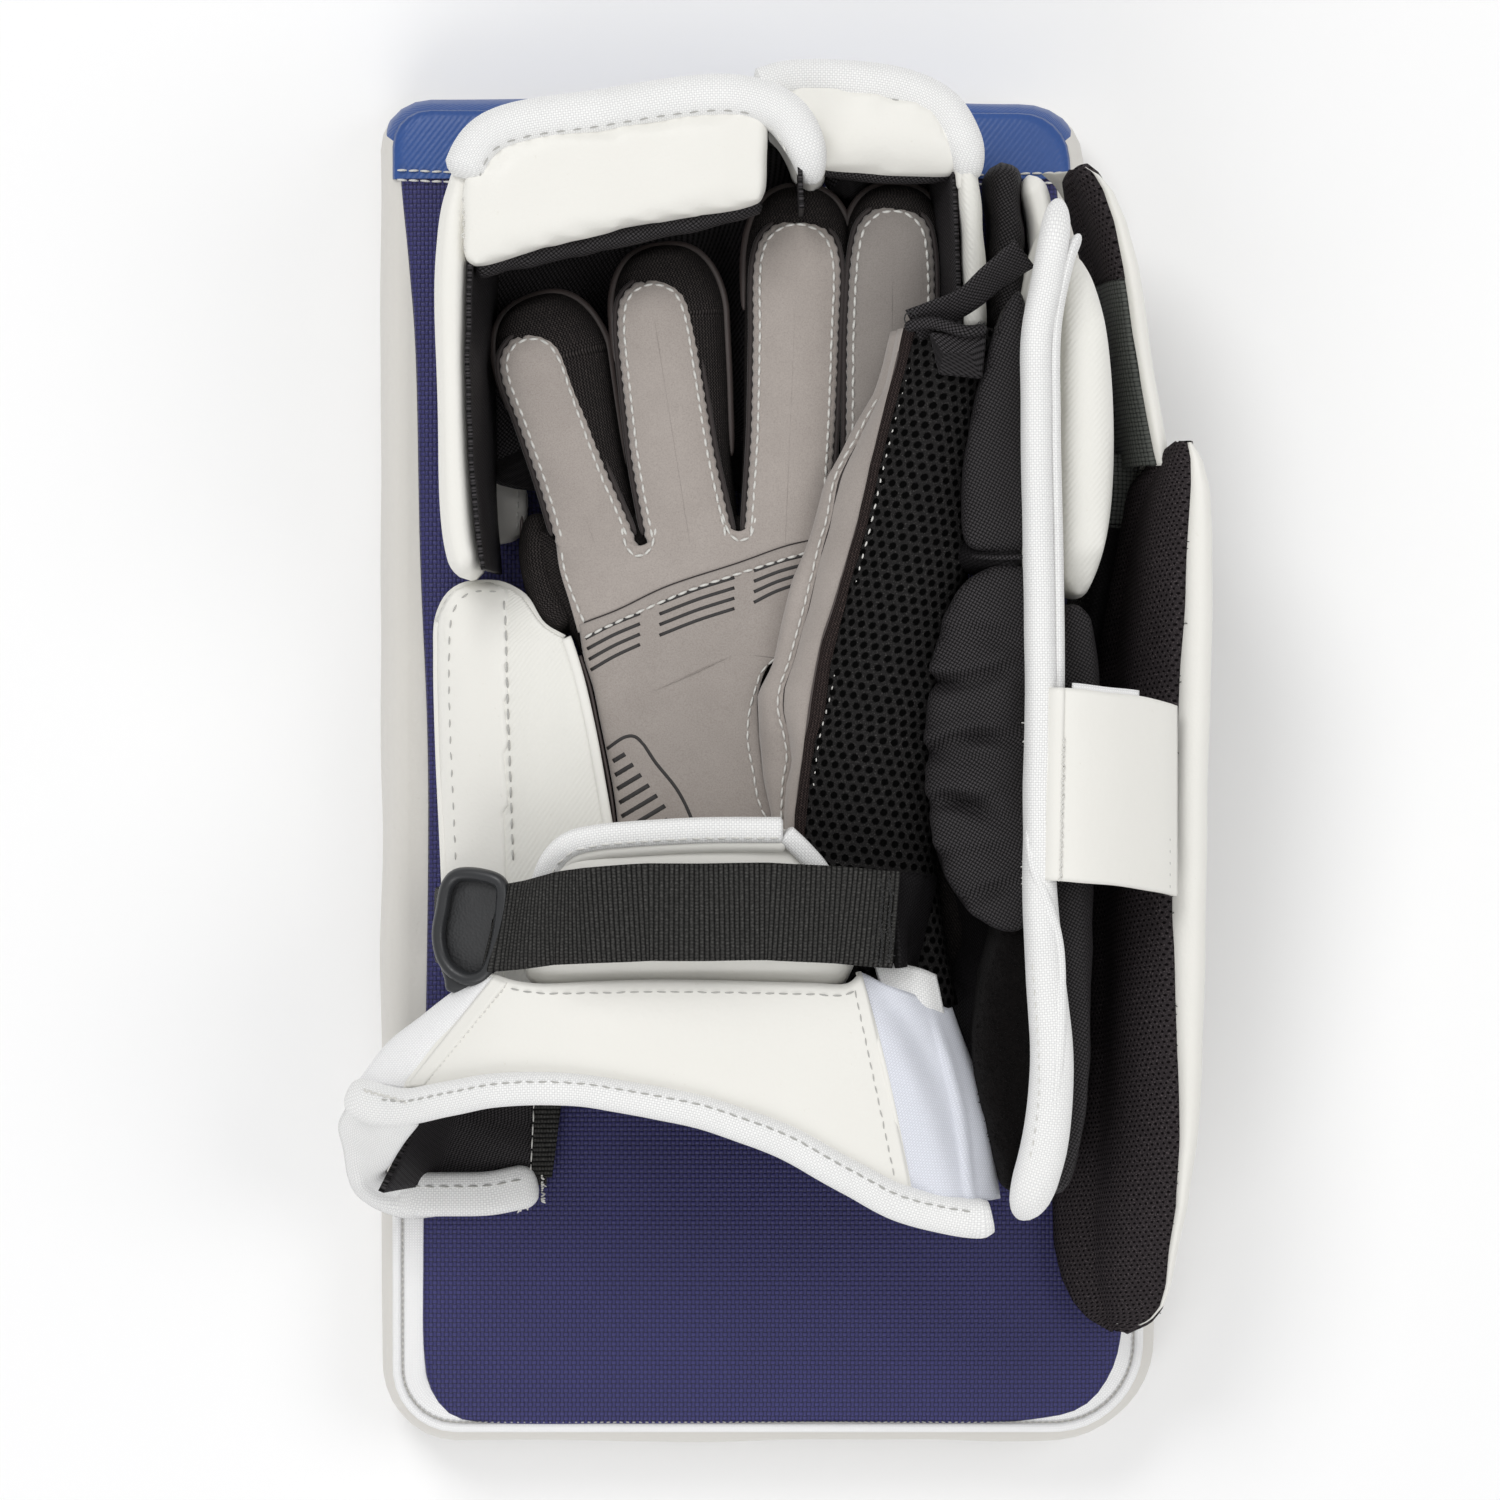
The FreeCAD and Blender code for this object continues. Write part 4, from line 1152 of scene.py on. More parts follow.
def make_finger(name):
    """One finger stall: knit sides, suede facing, trim and stitching."""
    points, tip_y = FINGERS[name]
    past, lean_out, extra = KNIT[name]
    body = name + "_finger"
    centre = smooth(points, 60)
    last = centre[-1]
    lean = centre[-1] - centre[-6]
    lean = Vector((lean.x, lean.y, 0)).normalized()
    across = Vector((lean.y, -lean.x, 0))
    reach = tip_y - last.y + past
    path, halves = [], []
    for i, p in enumerate(centre):
        t = i / (len(centre) - 1)
        path.append(Vector((p.x, p.y, 63.6)) + across * (lean_out * t**1.4))
        halves.append(p.z + 1.4 + (extra - 1.4) * t)
    root = path[-1].copy()
    wide = halves[-1]
    for step in range(1, 15):
        a = 0.5 * PI * step / 14
        path.append(root + lean * (reach * math.sin(a)))
        halves.append(max(0.4, wide * math.cos(a) ** 0.75))
    count = len(path)

    def scale(t):
        half = halves[min(count - 1, round(t * (count - 1)))]
        return (half, 10.6 * min(1.0, (half / 9.0) ** 0.6))

    stall = sweep(name + "_knit", path, [(s * 2, h * 2) for s, h in oval(1, 1, 28, 2.5)], scale=scale)
    weld(stall)
    finish_piece(stall, body, BLACK_KNIT, [name + "_stall"])

    outline = finger_outline(points, tip_y, 320, 0.22)
    crown = max(outline, key=lambda p: p.dot(lean))
    outline = [p - lean * (1.3 * max(0.0, 1 - (p - crown).length / 1.1)) for p in outline]
    level = FACING_Z - 0.9
    spine = (Vector((points[0][0], points[0][1], level)), Vector((last.x, last.y, level)))
    facing = pillow(name + "_suede", [p + UP * level for p in outline], spine, 1.5, 0.5, 8, 5.0)

    def wrap(p):
        near = min(centre, key=lambda c: (c.x - p.x) ** 2 + (c.y - p.y) ** 2)
        side = math.hypot(p.x - near.x, p.y - near.y) / near.z
        sink = 3.2 * max(0.0, (59.0 - p.y) / 9.0) ** 1.5
        droop = 2.0 * min(1.0, max(0.25, (p.y - 52) / 22))
        return (0, 0, -droop * min(side, 1.1) ** 2.4 - sink + 0.25 * ripple(p, 12, 4))

    reshape(facing, wrap)
    finish_piece(facing, body, SHADED_SUEDE if name == "index" else SUEDE, [name + "_facing"])

    edge = unbroken([p for p in offset(finger_outline(points, tip_y, 150), -0.6) if p.y > 60])
    trim = [p + UP * (level + 0.1 + wrap(p)[2]) for p in edge]
    trims = [sweep("trim", trim, oval(1.5, 1.5, 10), scale=tapered(0.03, 0.3))]
    mark = Vector((crown.x, crown.y, level + 0.9 + wrap(crown)[2]))
    trims.append(sweep("mark", [mark - lean * 1.3, mark, mark + lean * 0.9], oval(0.5, 0.9, 6)))
    finish_piece(join(name + "_facing_trim", trims), body, BROWN_TRIM)

    seam = offset(finger_outline(points, tip_y, 150), 1.7)
    seam = seam[-4:] + seam[:-4]
    top = [p for p in seam if p.y > 59.5]
    top = [p + UP * (level + 1.2 + wrap(p)[2] * 0.8) for p in top]
    sew(name + "_stitches", unbroken(top), 2.9, 2.4, 0.37, body, WHITE_THREAD)

    left = [p - across * (h + 0.2) for p, h in zip(path[-24:], halves[-24:])]
    right = [p + across * (h + 0.2) for p, h in zip(path[-48:], halves[-48:])]
    arch = even([p + UP * 1.5 for p in left + right[::-1]], 90)
    piping = sweep(name + "_tip_piping", arch, oval(2.4, 2.6, 12), scale=tapered(0.1, 0.2))
    finish_piece(piping, body, PIPING)


def unbroken(line):
    """The same points, starting after the widest gap."""
    gaps = [(line[i] - line[i - 1]).length for i in range(len(line))]
    start = gaps.index(max(gaps))
    return line[start:] + line[:start]


make_finger_hood()
make_index_hood()
for finger in FINGERS:
    make_finger(finger)


# ---------------------------------------------------------------- the palm of the hand
PALM_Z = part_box("palm_panel")[1].z / MM
PALM_EDGE = [(-48.4, 37.5), (-47.3, 29.5), (-44.8, 21.4), (-43.0, 12.7), (-41.1, 3.4), (-39.5, -5.3),
    (-38.4, -14), (-36.5, -42)]
PALM_SEAM = [(-48.4, 37.5), (-38.6, 41.2), (-26.2, 47.1), (-7.5, 53.3), (4.9, 57.7), (12.9, 59.5), (20, 61)]
VALLEYS = ((-32.7, 57.7), (-7.2, 61.4))


def across_at(points, y):
    """The x of a line of (x, y) points at a given y."""
    pairs = sorted((p[1], p[0]) for p in points)
    return float(np.interp(y, [a for a, _ in pairs], [b for _, b in pairs]))


def palm_level(x, y):
    """The height of the palm's surface, falling away to its left edge and hollowed in the middle."""
    inside = max(0.0, x - across_at(PALM_EDGE + [(-50.5, 45), (-55, 62)], y))
    fall = 2.4 * math.exp(-inside / 3.2)
    hollow = 0.7 * math.exp(-((x + 18) ** 2 + (y - 22) ** 2) / 420)
    t = min(1.0, max(0.0, (y - 50) / 16))
    to_fingers = 2.2 * t * t * (3 - 2 * t)
    return PALM_Z - 0.3 - fall - hollow - to_fingers + 0.35 * ripple((x, y, 0), 16, 5)


def laid(line, lift):
    """A flat line laid on the palm's surface."""
    return [Vector((p.x, p.y, palm_level(p.x, p.y) + lift)) for p in line]


def palm_sheet(name, outline, spine, lift, top, bottom, power=6.0):
    """A flat piece that lies on the palm, lifted above it by lift."""
    piece = pillow(name, outline, spine, top, bottom, 9, power)
    reshape(piece, lambda p: (0, 0, palm_level(p.x, p.y) + lift))
    return piece


def make_palm():
    """The palm: two pieces of suede, the seam between them and the edge trim."""
    seam = smooth(PALM_SEAM, 50)
    edge = smooth(PALM_EDGE, 50)
    under = smooth([(20, 61), (15, 40), (9, 28.8), (1.4, 28.4), (-2.4, 19.5), (-2.4, 14), (-1.7, 4.6),
        (-0.4, -4.1), (1.6, -13), (4, -42)], 50)
    outline = even(seam + under[1:] + edge[::-1][:-1] + [seam[0]], 170, True)
    lower = palm_sheet("palm_lower_suede", outline, (Vector((-30, 20, 0)), Vector((-8, 30, 0))), 0.0, 0.6,
        0.8)
    # the lower palm takes the darker suede as painted shade
    finish_piece(lower, "board", PALM_PAINTED_SHADE_SUEDE, ["palm_panel"])
    raw_edge = sweep("palm_seam_edge", laid(seam[1:-4], 0.25), oval(0.35, 0.5, 8))
    finish_piece(raw_edge, "board", BROWN_TRIM)
    line = smooth([(-47.0, 34.1), (-39.8, 37.5), (-32.4, 40.9), (-20.0, 46.2), (-8.2, 50.2), (2.4, 53.6),
        (10.8, 56.1)], 60)
    sew("palm_seam_stitches", laid(line, 0.75), 2.9, 2.3, 0.36, "board", WHITE_THREAD)

    top = smooth([(-54.4, 59), (-54.2, 66), (-53, 71), (-46, 72), (-43, 70), (-39.4, 63.5), (-36.2, 59.2),
        VALLEYS[0], (-29.6, 59.6), (-29.4, 64), (-29, 70), (-22, 72), (-15, 70.5), (-13, 66), (-10.4, 62.8),
        VALLEYS[1], (-4.6, 63.2), (-3.6, 68), (-2, 71), (6, 73), (14, 71), (20, 67)], 150)
    bottom = smooth([(22, 60), (16, 57.4), (4.9, 54), (-7.5, 49.8), (-26.2, 43.6), (-38.6, 37.8),
        (-48.6, 35.2)], 60)
    side = smooth([(-48.6, 35.2), (-50.8, 43.1), (-53.4, 51.8), (-54.4, 59)], 24)
    outline = even(top + bottom + side[1:-1] + [top[0]], 240, True)
    upper = palm_sheet("palm_upper_suede", outline, (Vector((-40, 49, 0)), Vector((6, 60, 0))), -0.55, 0.55,
        0.5)
    hinge = ("board", "three_finger_hood", (-20, 46, 76), (-20, 60, 76))
    finish_piece(upper, hinge, SUEDE)
    turns = [
        [(-37.5, 62.5), (-36.3, 57.6), (-33.9, 55.0), (-31.1, 55.5), (-29.4, 58.3), (-28.6, 63)],
        [(-11.6, 66), (-10.6, 62.6), (-8.8, 59.5), (-6.0, 58.9), (-3.8, 61.2), (-3.0, 66)],
    ]
    rows = [stitches("turn", laid(smooth(points, 30), 0.15), 2.7, 2.2, 0.36) for points in turns]
    left = smooth([(-53.1, 59), (-52.2, 51.8), (-49.4, 43.4), (-46.8, 37.6)], 24)
    rows.append(stitches("left", laid(left, 0.15), 2.7, 2.2, 0.36))
    finish_piece(join("palm_valley_stitches", rows), hinge, WHITE_THREAD)

    trim = [Vector((p.x - 0.9, p.y, palm_level(p.x, p.y) - 0.4)) for p in smooth(PALM_EDGE[1:], 60)]
    finish_piece(sweep("palm_edge_piping", trim, oval(1.1, 1.6, 10)), "board", PIPING)
    outer = [p + Vector((-1.5, -0.3, -0.7)) for p in trim]
    finish_piece(sweep("palm_edge_trim", outer, oval(2.2, 2.2, 12)), "board", BLACK_KNIT)

    make_print()
    make_hand()


def make_print():
    """The dark printed bars across the palm and the ribbed patch at its heel."""
    lines = []
    # for each group: its top bar's ends, and how far each bar below is drawn in at its left and right
    groups = [((-46.7, 33.9), (-32.7, 40.3), 0.45, 0.0), ((-27.7, 42.8), (-8.5, 49.5), 0.0, 0.0),
        ((-3.5, 51.2), (10.8, 55.5), 0.0, -1.4)]
    step = 2.7
    bend = Vector((0, 0.35, 0))
    for (x1, y1), (x2, y2), shift, pull in groups:
        for k in range(4):
            a = Vector((x1 + shift * k, y1 - step * k, 0))
            b = Vector((x2 + pull * k, y2 - (step - 0.05) * k, 0))
            lines.append((smooth([a, (a + b) / 2 + bend, b], 14), 0.85))
    curve = smooth([(-41.2, 5.6), (-36.6, 8.6), (-34.2, 8.8), (-32.2, 7.2), (-28.7, 2.1), (-23.7, -4.1),
        (-21.2, -8.4), (-18.4, -15)], 50)
    lines.append((curve, 0.85))
    for k in range(8):
        a = Vector((-39.6 + 0.55 * k, 2.4 - 3.55 * k, 0))
        length = 3.6 + 1.75 * k
        b = a + Vector((math.cos(math.radians(31)), math.sin(math.radians(31)), 0)) * min(length, 12.5)
        lines.append((even([a, b], 8), 1.15))
    parts = []
    for line, width in lines:
        shown = [p for p in line if p.y > -20]
        if len(shown) > 2:
            parts.append(sweep("bar", laid(shown, 0.62), oval(width, 0.2, 8)))
    finish_piece(join("palm_print_bars", parts), "board", PRINT)


def make_hand():
    """The black knit back of the hand that shows round the palm."""
    outline = smooth([(-60, 63), (-60.5, 52), (-57.5, 42), (-50, 34), (-44.5, 15), (-41.5, -10), (-40, -50),
        (-34, -70), (34, -70), (52, -45), (58, 0), (52, 50), (40, 64), (0, 66)], 140, True)
    knit = pillow("hand_knit", [p + UP * 60 for p in outline], ((-20, -50, 60), (-10, 30, 60)), 14.0, 14.0,
        10, 5.0)
    finish_piece(knit, "board", BLACK_KNIT, ["glove_hand_shell", "hand_base_pad"])
    bulge = smooth([(-59.5, 66, 62), (-59.3, 54, 64), (-56.5, 44, 66), (-51.5, 36.5, 69)], 40)
    side = sweep("hand_side_knit", bulge, oval(9.5, 15, 20), scale=tapered(0.3, 0.35))
    finish_piece(side, "board", BLACK_KNIT)
    trim = smooth([(-63.6, 66, 60), (-63.4, 54, 62), (-61.2, 44.5, 64), (-57.4, 38.3, 66),
        (-52.4, 34.6, 69)], 40)
    finish_piece(sweep("hand_side_piping", trim, oval(1.1, 2.0, 10), scale=tapered(0.1)), "board", PIPING)


# ---------------------------------------------------------------- the thumb
# x against y for each line that runs along the thumb
THUMB_LINES = {"left": [(7, -60), (6, -45), (1.8, -12.8), (-0.8, -1), (-1.8, 8), (-2.1, 19.5), (1.6, 27),
    (2.6, 30), (4.9, 39.3), (7.3, 48.6), (10.4, 54.8), (12.2, 60.4), (15.6, 73), (21.6, 85), (28.2, 96),
    (31.2, 104), (33.3, 113)], "fold": [(8, -60), (7, -45), (4.8, -12.7), (5.1, -2.8), (6.4, 2.2),
    (5.7, 8.3), (3.9, 15.7), (4.2, 20.7), (6.4, 26.8), (8.5, 34.3), (10.4, 41), (12.5, 49.7), (14.4, 57.7),
    (16.3, 64), (18.4, 74.5), (24.4, 86), (30.2, 96.5), (32.2, 104), (34, 113)],
    "wall": [(9, -60), (8, -45), (7.2, -12.5), (8.4, -2.7), (9.7, 6.5), (10.6, 14.4), (12.1, 23.6),
    (13.9, 32.8), (17, 42), (20.3, 53), (23.3, 63.5), (25.9, 75), (29, 88), (30.9, 95.4), (33.0, 104),
    (35, 113)], "trim": [(11, -60), (10, -45), (9.6, -15.6), (10.9, -0.9), (12.1, 8.3), (14.5, 14.4),
    (15.8, 26.7), (19.4, 38.9), (22.8, 53), (25.5, 63.4), (28, 75), (31.2, 88), (33.2, 95.3), (36.6, 107.5),
    (38, 113)], "seam": [(14, -60), (13, -45), (13, -1.5), (14.8, 10.7), (17.6, 24.2), (20.3, 35.2),
    (24, 48.7), (24.9, 56), (27.6, 64.7), (30.9, 80.6), (33.6, 90.4), (36.1, 97.1), (37.8, 106.3),
    (39.5, 113)], "right": [(45, -60), (42, -45), (39, -22), (39, 8), (42.5, 33), (48, 53), (48, 73),
    (51, 94), (55, 106), (54, 113)]}

THUMB_HINGE = ("board", "thumb_side", (20, -13, 90), (20, 28, 90))


def thumb_rise(y):
    """How far the thumb's top stands above its height at the wrist."""
    return float(np.interp(y, (-60, -20, 20, 70, 113), (-13, -9, -4, -1.5, 0)))


def thumb_point(line, y, z, out=0.0):
    """A point on one of the thumb's lines, raised with the thumb."""
    x = across_at(THUMB_LINES[line], y)
    return Vector((x + out, y, z + thumb_rise(y) * min(1.0, (z - 77) / 20)))


def thumb_rows(first, last, points, low=-60.0, high=112.0, count=86):
    """Rows of points along the thumb, each from its first line to its last."""
    rows = []
    for k in range(count):
        y = low + (high - low) * k / (count - 1)
        rows.append(points(y, thumb_point(first[0], y, first[1]), thumb_point(last[0], y, last[1])))
    return rows


def bowed(a, b, rise, steps, y, size=11.0, amount=0.35):
    """Points from a to b, bowed out by rise."""
    across = (b - a).normalized()
    out = Vector((0, 1, 0)).cross(across) * -1
    out = out if out.z > 0 else -out
    row = []
    for k in range(steps):
        t = k / (steps - 1)
        p = a.lerp(b, t) + out * (rise * math.sin(PI * t))
        row.append(p + out * (amount * ripple((p.x, y, p.z), size, 3)))
    return row


def make_thumb():
    """The thumb stall: suede front, knit trim, mesh and heel panels, piping and stitching."""
    def bulged(y, a, b):
        return bowed(a, b, 1.6 + 1.2 * max(0, 1 - abs(y - 45) / 35), 10, y)

    sheet("thumb_front_suede", thumb_rows(("left", 78.2), ("fold", 87), bulged), 1.0, THUMB_HINGE, SUEDE,
        ["thumb_facing"])
    sheet("thumb_side_suede", thumb_rows(("fold", 86.2), ("wall", 96), lambda y, a,
        b: bowed(a, b, 0.9, 8, y, 8)), 0.9, THUMB_HINGE, SUEDE)
    sheet("thumb_trim_knit", thumb_rows(("wall", 96), ("trim", 98.5), lambda y, a,
        b: bowed(a, b, 1.0, 8, y, 6)), 1.0, THUMB_HINGE, BROWN_KNIT)

    def crown(y, a, b):
        row = []
        for k in range(30):
            t = k / 29
            p = a.lerp(b, t)
            lift = 6.5 * math.sin(PI * min(1.0, t * 0.9)) ** 0.8
            p = p + UP * (lift + 0.9 * ripple((p.x, y, 0), 26, 7))
            row.append(p)
        end = row[-1]
        row += [end + Vector((2.0, 0, -3.0)), end + Vector((3.0, 0, -8.0)), end + Vector((2.5, 0, -14.0))]
        return row

    sheet("thumb_spacer_mesh", thumb_rows(("trim", 98), ("right", 96), crown, count=120), 1.6, THUMB_HINGE,
        SPACER, ["thumb_mesh_panel", "thumb_heel_panel"])

    body = []
    for k in range(70):
        y = -58 + 169 * k / 69
        left = across_at(THUMB_LINES["left"], y) + 1.2
        wall_x = across_at(THUMB_LINES["wall"], y) + 1.4
        right = across_at(THUMB_LINES["right"], y) + 0.5
        low = float(np.interp(y, (-58, -13, 5), (76, 76, 80)))
        high = 97.0 + thumb_rise(y)
        middle = (wall_x + right) / 2
        body.append([Vector(p) for p in (
            (left, y, low + 0.5), (wall_x, y, high - 4), (wall_x + 4, y, high + 0.5), (middle, y, high + 3.5),
            (right - 4, y, high + 1), (right, y, high - 5), (right - 2, y, low + 3), (right - 8, y, low),
            (middle, y, low - 0.6), (left + 4, y, low - 0.4))])
    stall = skin("thumb_stall_knit", body, closed=True, caps=True)
    smooth_more(stall)
    finish_piece(stall, THUMB_HINGE, BLACK_KNIT, ["thumb_stall"])

    marks = [-12.7, -9, -2.8, 3.4, 9.6, 15.7, 21.3, 27.5, 34.9, 42.3, 49.7, 57.7, 63.9, 74.5, 85, 95]
    line = smooth([thumb_point("fold", y, 87.9, -1.35) for y in marks], 120)
    sew("thumb_front_stitches", line, 2.9, 2.2, 0.30, THUMB_HINGE, WHITE_THREAD)
    groove = smooth([thumb_point("fold", y, 87.1, 0.1) for y in marks], 120)
    finish_piece(sweep("thumb_front_edge", groove, oval(0.7, 0.8, 8)), THUMB_HINGE, BROWN_TRIM)
    edge = smooth([thumb_point("wall", y, 96.9, -0.1) for y in range(-56, 112, 6)], 120)
    finish_piece(sweep("thumb_wall_piping", edge, oval(0.9, 1.0, 8)), THUMB_HINGE, PIPING)
    line = smooth([thumb_point("trim", y, 99.8, 0.9) for y in (44, 52, 62, 74, 84, 92, 99, 104)], 120)
    far = smooth([thumb_point("trim", y, 99.8, 1.0) for y in (-4, 8, 20, 32, 42)], 60)
    rows = [stitches("near", line, 3.1, 1.6, 0.26), stitches("far", far, 3.1, 1.0, 0.18)]
    finish_piece(join("thumb_mesh_stitches", rows), THUMB_HINGE, WHITE_THREAD)
    make_thumb_slit()
    make_pull_tab()


def make_thumb_slit():
    """The slit at the root of the thumb: a stitched edge on the palm, and a thin dark line of painted shadow
    where the gusset goes down inside it.
    """
    line = smooth([(2.1, 28.8), (-1.3, 25.7), (-3.2, 20.7), (-4.8, 14.5), (-5.1, 7.7), (-3.8, 0.3),
        (-2.3, -7.8), (-0.1, -12.7)], 50)
    sew("thumb_slit_stitches", laid(line, 0.75), 2.9, 2.2, 0.30, "board", WHITE_THREAD)
    # painted shadow: a thin dark line along the slit stands for its shaded inside
    edge = smooth([(2.4, 28.2), (-2.0, 19.5), (-2.0, 14.5), (-1.3, 4.6), (-0.1, -4.1), (1.8, -12.8)], 40)
    finish_piece(sweep("thumb_slit_painted_shadow", laid(edge, 0.2), oval(0.5, 0.7, 8), scale=tapered(0.1)), "board",
        BROWN_TRIM)


def make_pull_tab():
    """A twisted webbing loop from the thumb's tip to the guard, with a patch and frayed ends."""
    path = smooth([(36.5, 112, 104.5), (42, 114.6, 105), (50, 118.5, 106), (57, 124.5, 107),
        (64.5, 130, 108)], 40)
    ups = [Vector((0.5 * math.cos(1.7 * k / 39 + 0.4), -0.9 * math.sin(1.7 * k / 39 + 0.2),
        0.75)).normalized() for k in range(40)]

    def width(t):
        return (1.0 + 0.28 * abs(t - 0.45), 1.0)

    tab = sweep("pull_tab_loop", path, oval(8.5, 1.3, 16, 3.5), up=ups, scale=width)
    finish_piece(tab, "thumb_side", BLACK_NYLON, ["pull_tab"])
    roll = sweep("pull_tab_fold", smooth([(34.4, 111.5, 106.5), (41, 112.6, 107.4), (50, 110.4, 107.4),
        (55, 111.2, 106)], 30), oval(3.2, 3.0, 12), scale=tapered(0.1, 0.4))
    finish_piece(roll, "thumb_side", BLACK_NYLON)
    outline = even(vectors([(40.4, 110.5), (55, 109.6), (54, 98.6), (43, 99.6), (40.4, 110.5)], 105.5), 60,
        True)
    patch = pillow("pull_tab_patch", outline, ((44, 105, 105.5), (51, 105, 105.5)), 1.0, 0.8, 5, 6.0)
    reshape(patch, lambda p: (0, 0, -0.10 * (p.x - 46) + 0.4 * ripple(p, 7)))
    finish_piece(patch, "thumb_side", BLACK_NYLON)
    frays = []
    for _ in range(26):
        start = Vector((rng.uniform(42, 55), 110.6, 107.4))
        bend = random_vector((-1.2, 1.2), (0.4, 1.8), (-0.5, 1.4))
        frays.append(sweep("fray", smooth([start, start + bend * 0.6, start + bend * 1.3], 7),
            oval(0.22, 0.22, 5)))
    ring = [Vector((35.8 + 1.5 * math.cos(a / 12 * 2 * PI),
        113.6 + 1.8 * math.sin(a / 12 * 2 * PI), 107)) for a in range(11)]
    frays.append(sweep("loop", ring, oval(0.35, 0.35, 6)))
    finish_piece(join("pull_tab_frayed_ends", frays), "thumb_side", BLACK_THREAD)


make_palm()
make_thumb()


# ---------------------------------------------------------------- the guard beside the thumb
GUARD_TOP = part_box("thumb_guard_core")[1].z / MM
GUARD_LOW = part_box("thumb_guard_core")[0].z / MM
GUARD_RIM = [(72.4, 140.5, 106), (71.6, 134, 112.5), (69.9, 124, 113.5), (67.3, 110, 113.5),
    (67.1, 87, 113.5), (67.6, 53, 113.5), (68.2, 20, 113.5), (67.7, -10, 113.5), (67.9, -27, 113.5),
    (68.9, -45, 113.5), (70.2, -60, 113.3), (70.9, -74, 112.5), (69.6, -92, 110), (66.8, -104, 106),
    (64.6, -110, 98)]


def make_guard_core():
    """The thumb guard's wall, with its rolled rim, bead and stitching."""
    line = smooth([(x, y) for x, y, _ in GUARD_RIM], 120)
    core = hood_wall("guard_core", line, GUARD_LOW, GUARD_TOP - 4, 8.2, 0.0, (0.05, 0.09))
    finish_piece(core, "thumb_side", TWILL_LEATHER, ["thumb_guard_core"])
    rim = smooth(GUARD_RIM, 150)
    rim = [p + Vector((0.25 * ripple(p, 17, 2), 0, 0)) for p in rim]

    def scale(t):
        first = min(1.0, t / 0.035)
        last = min(1.0, (1 - t) / 0.05)
        k = rounding(0.05, first, last)
        wide = float(np.interp(t, (0, 0.06, 0.3, 0.62, 0.8, 0.92, 1),
            (0.85, 0.95, 0.92, 0.95, 1.25, 1.4, 1.35)))
        return (k * wide, 0.5 + 0.5 * k)

    cap = sweep("guard_rim", rim, oval(8.4, 14, 26, 2.6), scale=scale)
    finish_piece(cap, "thumb_side", WHITE_WOVEN, ["thumb_guard_binding"])
    bead = smooth([(77.0, 132.5, 108), (75.4, 129, 112), (71.9, 112, 112.6), (71.6, 87, 112.6),
        (72.3, 53, 112.6), (72.6, 25, 112.6), (72.4, 5, 112)], 90)
    finish_piece(sweep("guard_second_bead", bead, oval(3.4, 9, 16), scale=tapered(0.02, 0.3)), "thumb_side",
        WHITE_WOVEN)
    line = settle(smooth([(65.8, -48), (66.9, -62), (67.6, -77), (66.6, -90), (65.2, -98)], 60), cap, 0.1)
    sew("guard_rim_stitches", line, 3.0, 1.6, 0.18, "thumb_side", WHITE_THREAD)
    fold = smooth([(64.6, -14), (66.2, -24), (69.6, -33), (72.2, -43), (72.8, -56), (72.4, -72),
        (70.8, -88)], 70)
    fold = settle(fold, cap, -0.7)
    finish_piece(sweep("guard_rim_fold", fold, oval(3.0, 2.2, 12), scale=tapered(0.3)), "thumb_side",
        WHITE_WOVEN)
    frays = []
    for y in (-24, -22, -26, -23, -28, -32, 8, 12):
        frays.append(strand(Vector((64.4, y, 113)), random_vector((-1.2, -0.4), (-1.0, 1.0), (0, 1)), 6,
            0.3, 0.3))
    finish_piece(join("guard_loose_threads", frays), "thumb_side", WHITE_THREAD)


# creases across the lower pad: (y where it meets the rim, slope, depth, half width)
CREASES = [(33, -0.10, 0.9, 2.2), (26.6, 0.16, 1.7, 1.7), (19, -0.12, 1.2, 2.0), (10, 0.20, 1.9, 1.8),
    (2.5, -0.05, 1.1, 1.6), (-5, 0.12, 1.7, 2.0), (-12.5, -0.15, 1.3, 1.8), (-20.5, 0.10, 1.8, 1.9),
    (-27.5, 0.25, 1.3, 1.6)]


def crumple(p, seed):
    """Creases that run across a pad, each bending and fading as it goes."""
    x, y, _ = p
    total = 0.0
    for k, (at, slope, depth, wide) in enumerate(CREASES):
        bend = 2.6 * ripple((x, 7.0 * k, 0), 13, seed)
        away = (y - at - slope * (x - 66) - bend) / wide
        fade = min(1.3, max(0.0, 0.75 + 1.2 * ripple((x, 9.0 * k, 3), 12, seed + 4)))
        total += 2.1 * depth * fade * (0.45 * math.exp(-((away - 1.9) ** 2)) - math.exp(-away * away))
    return total


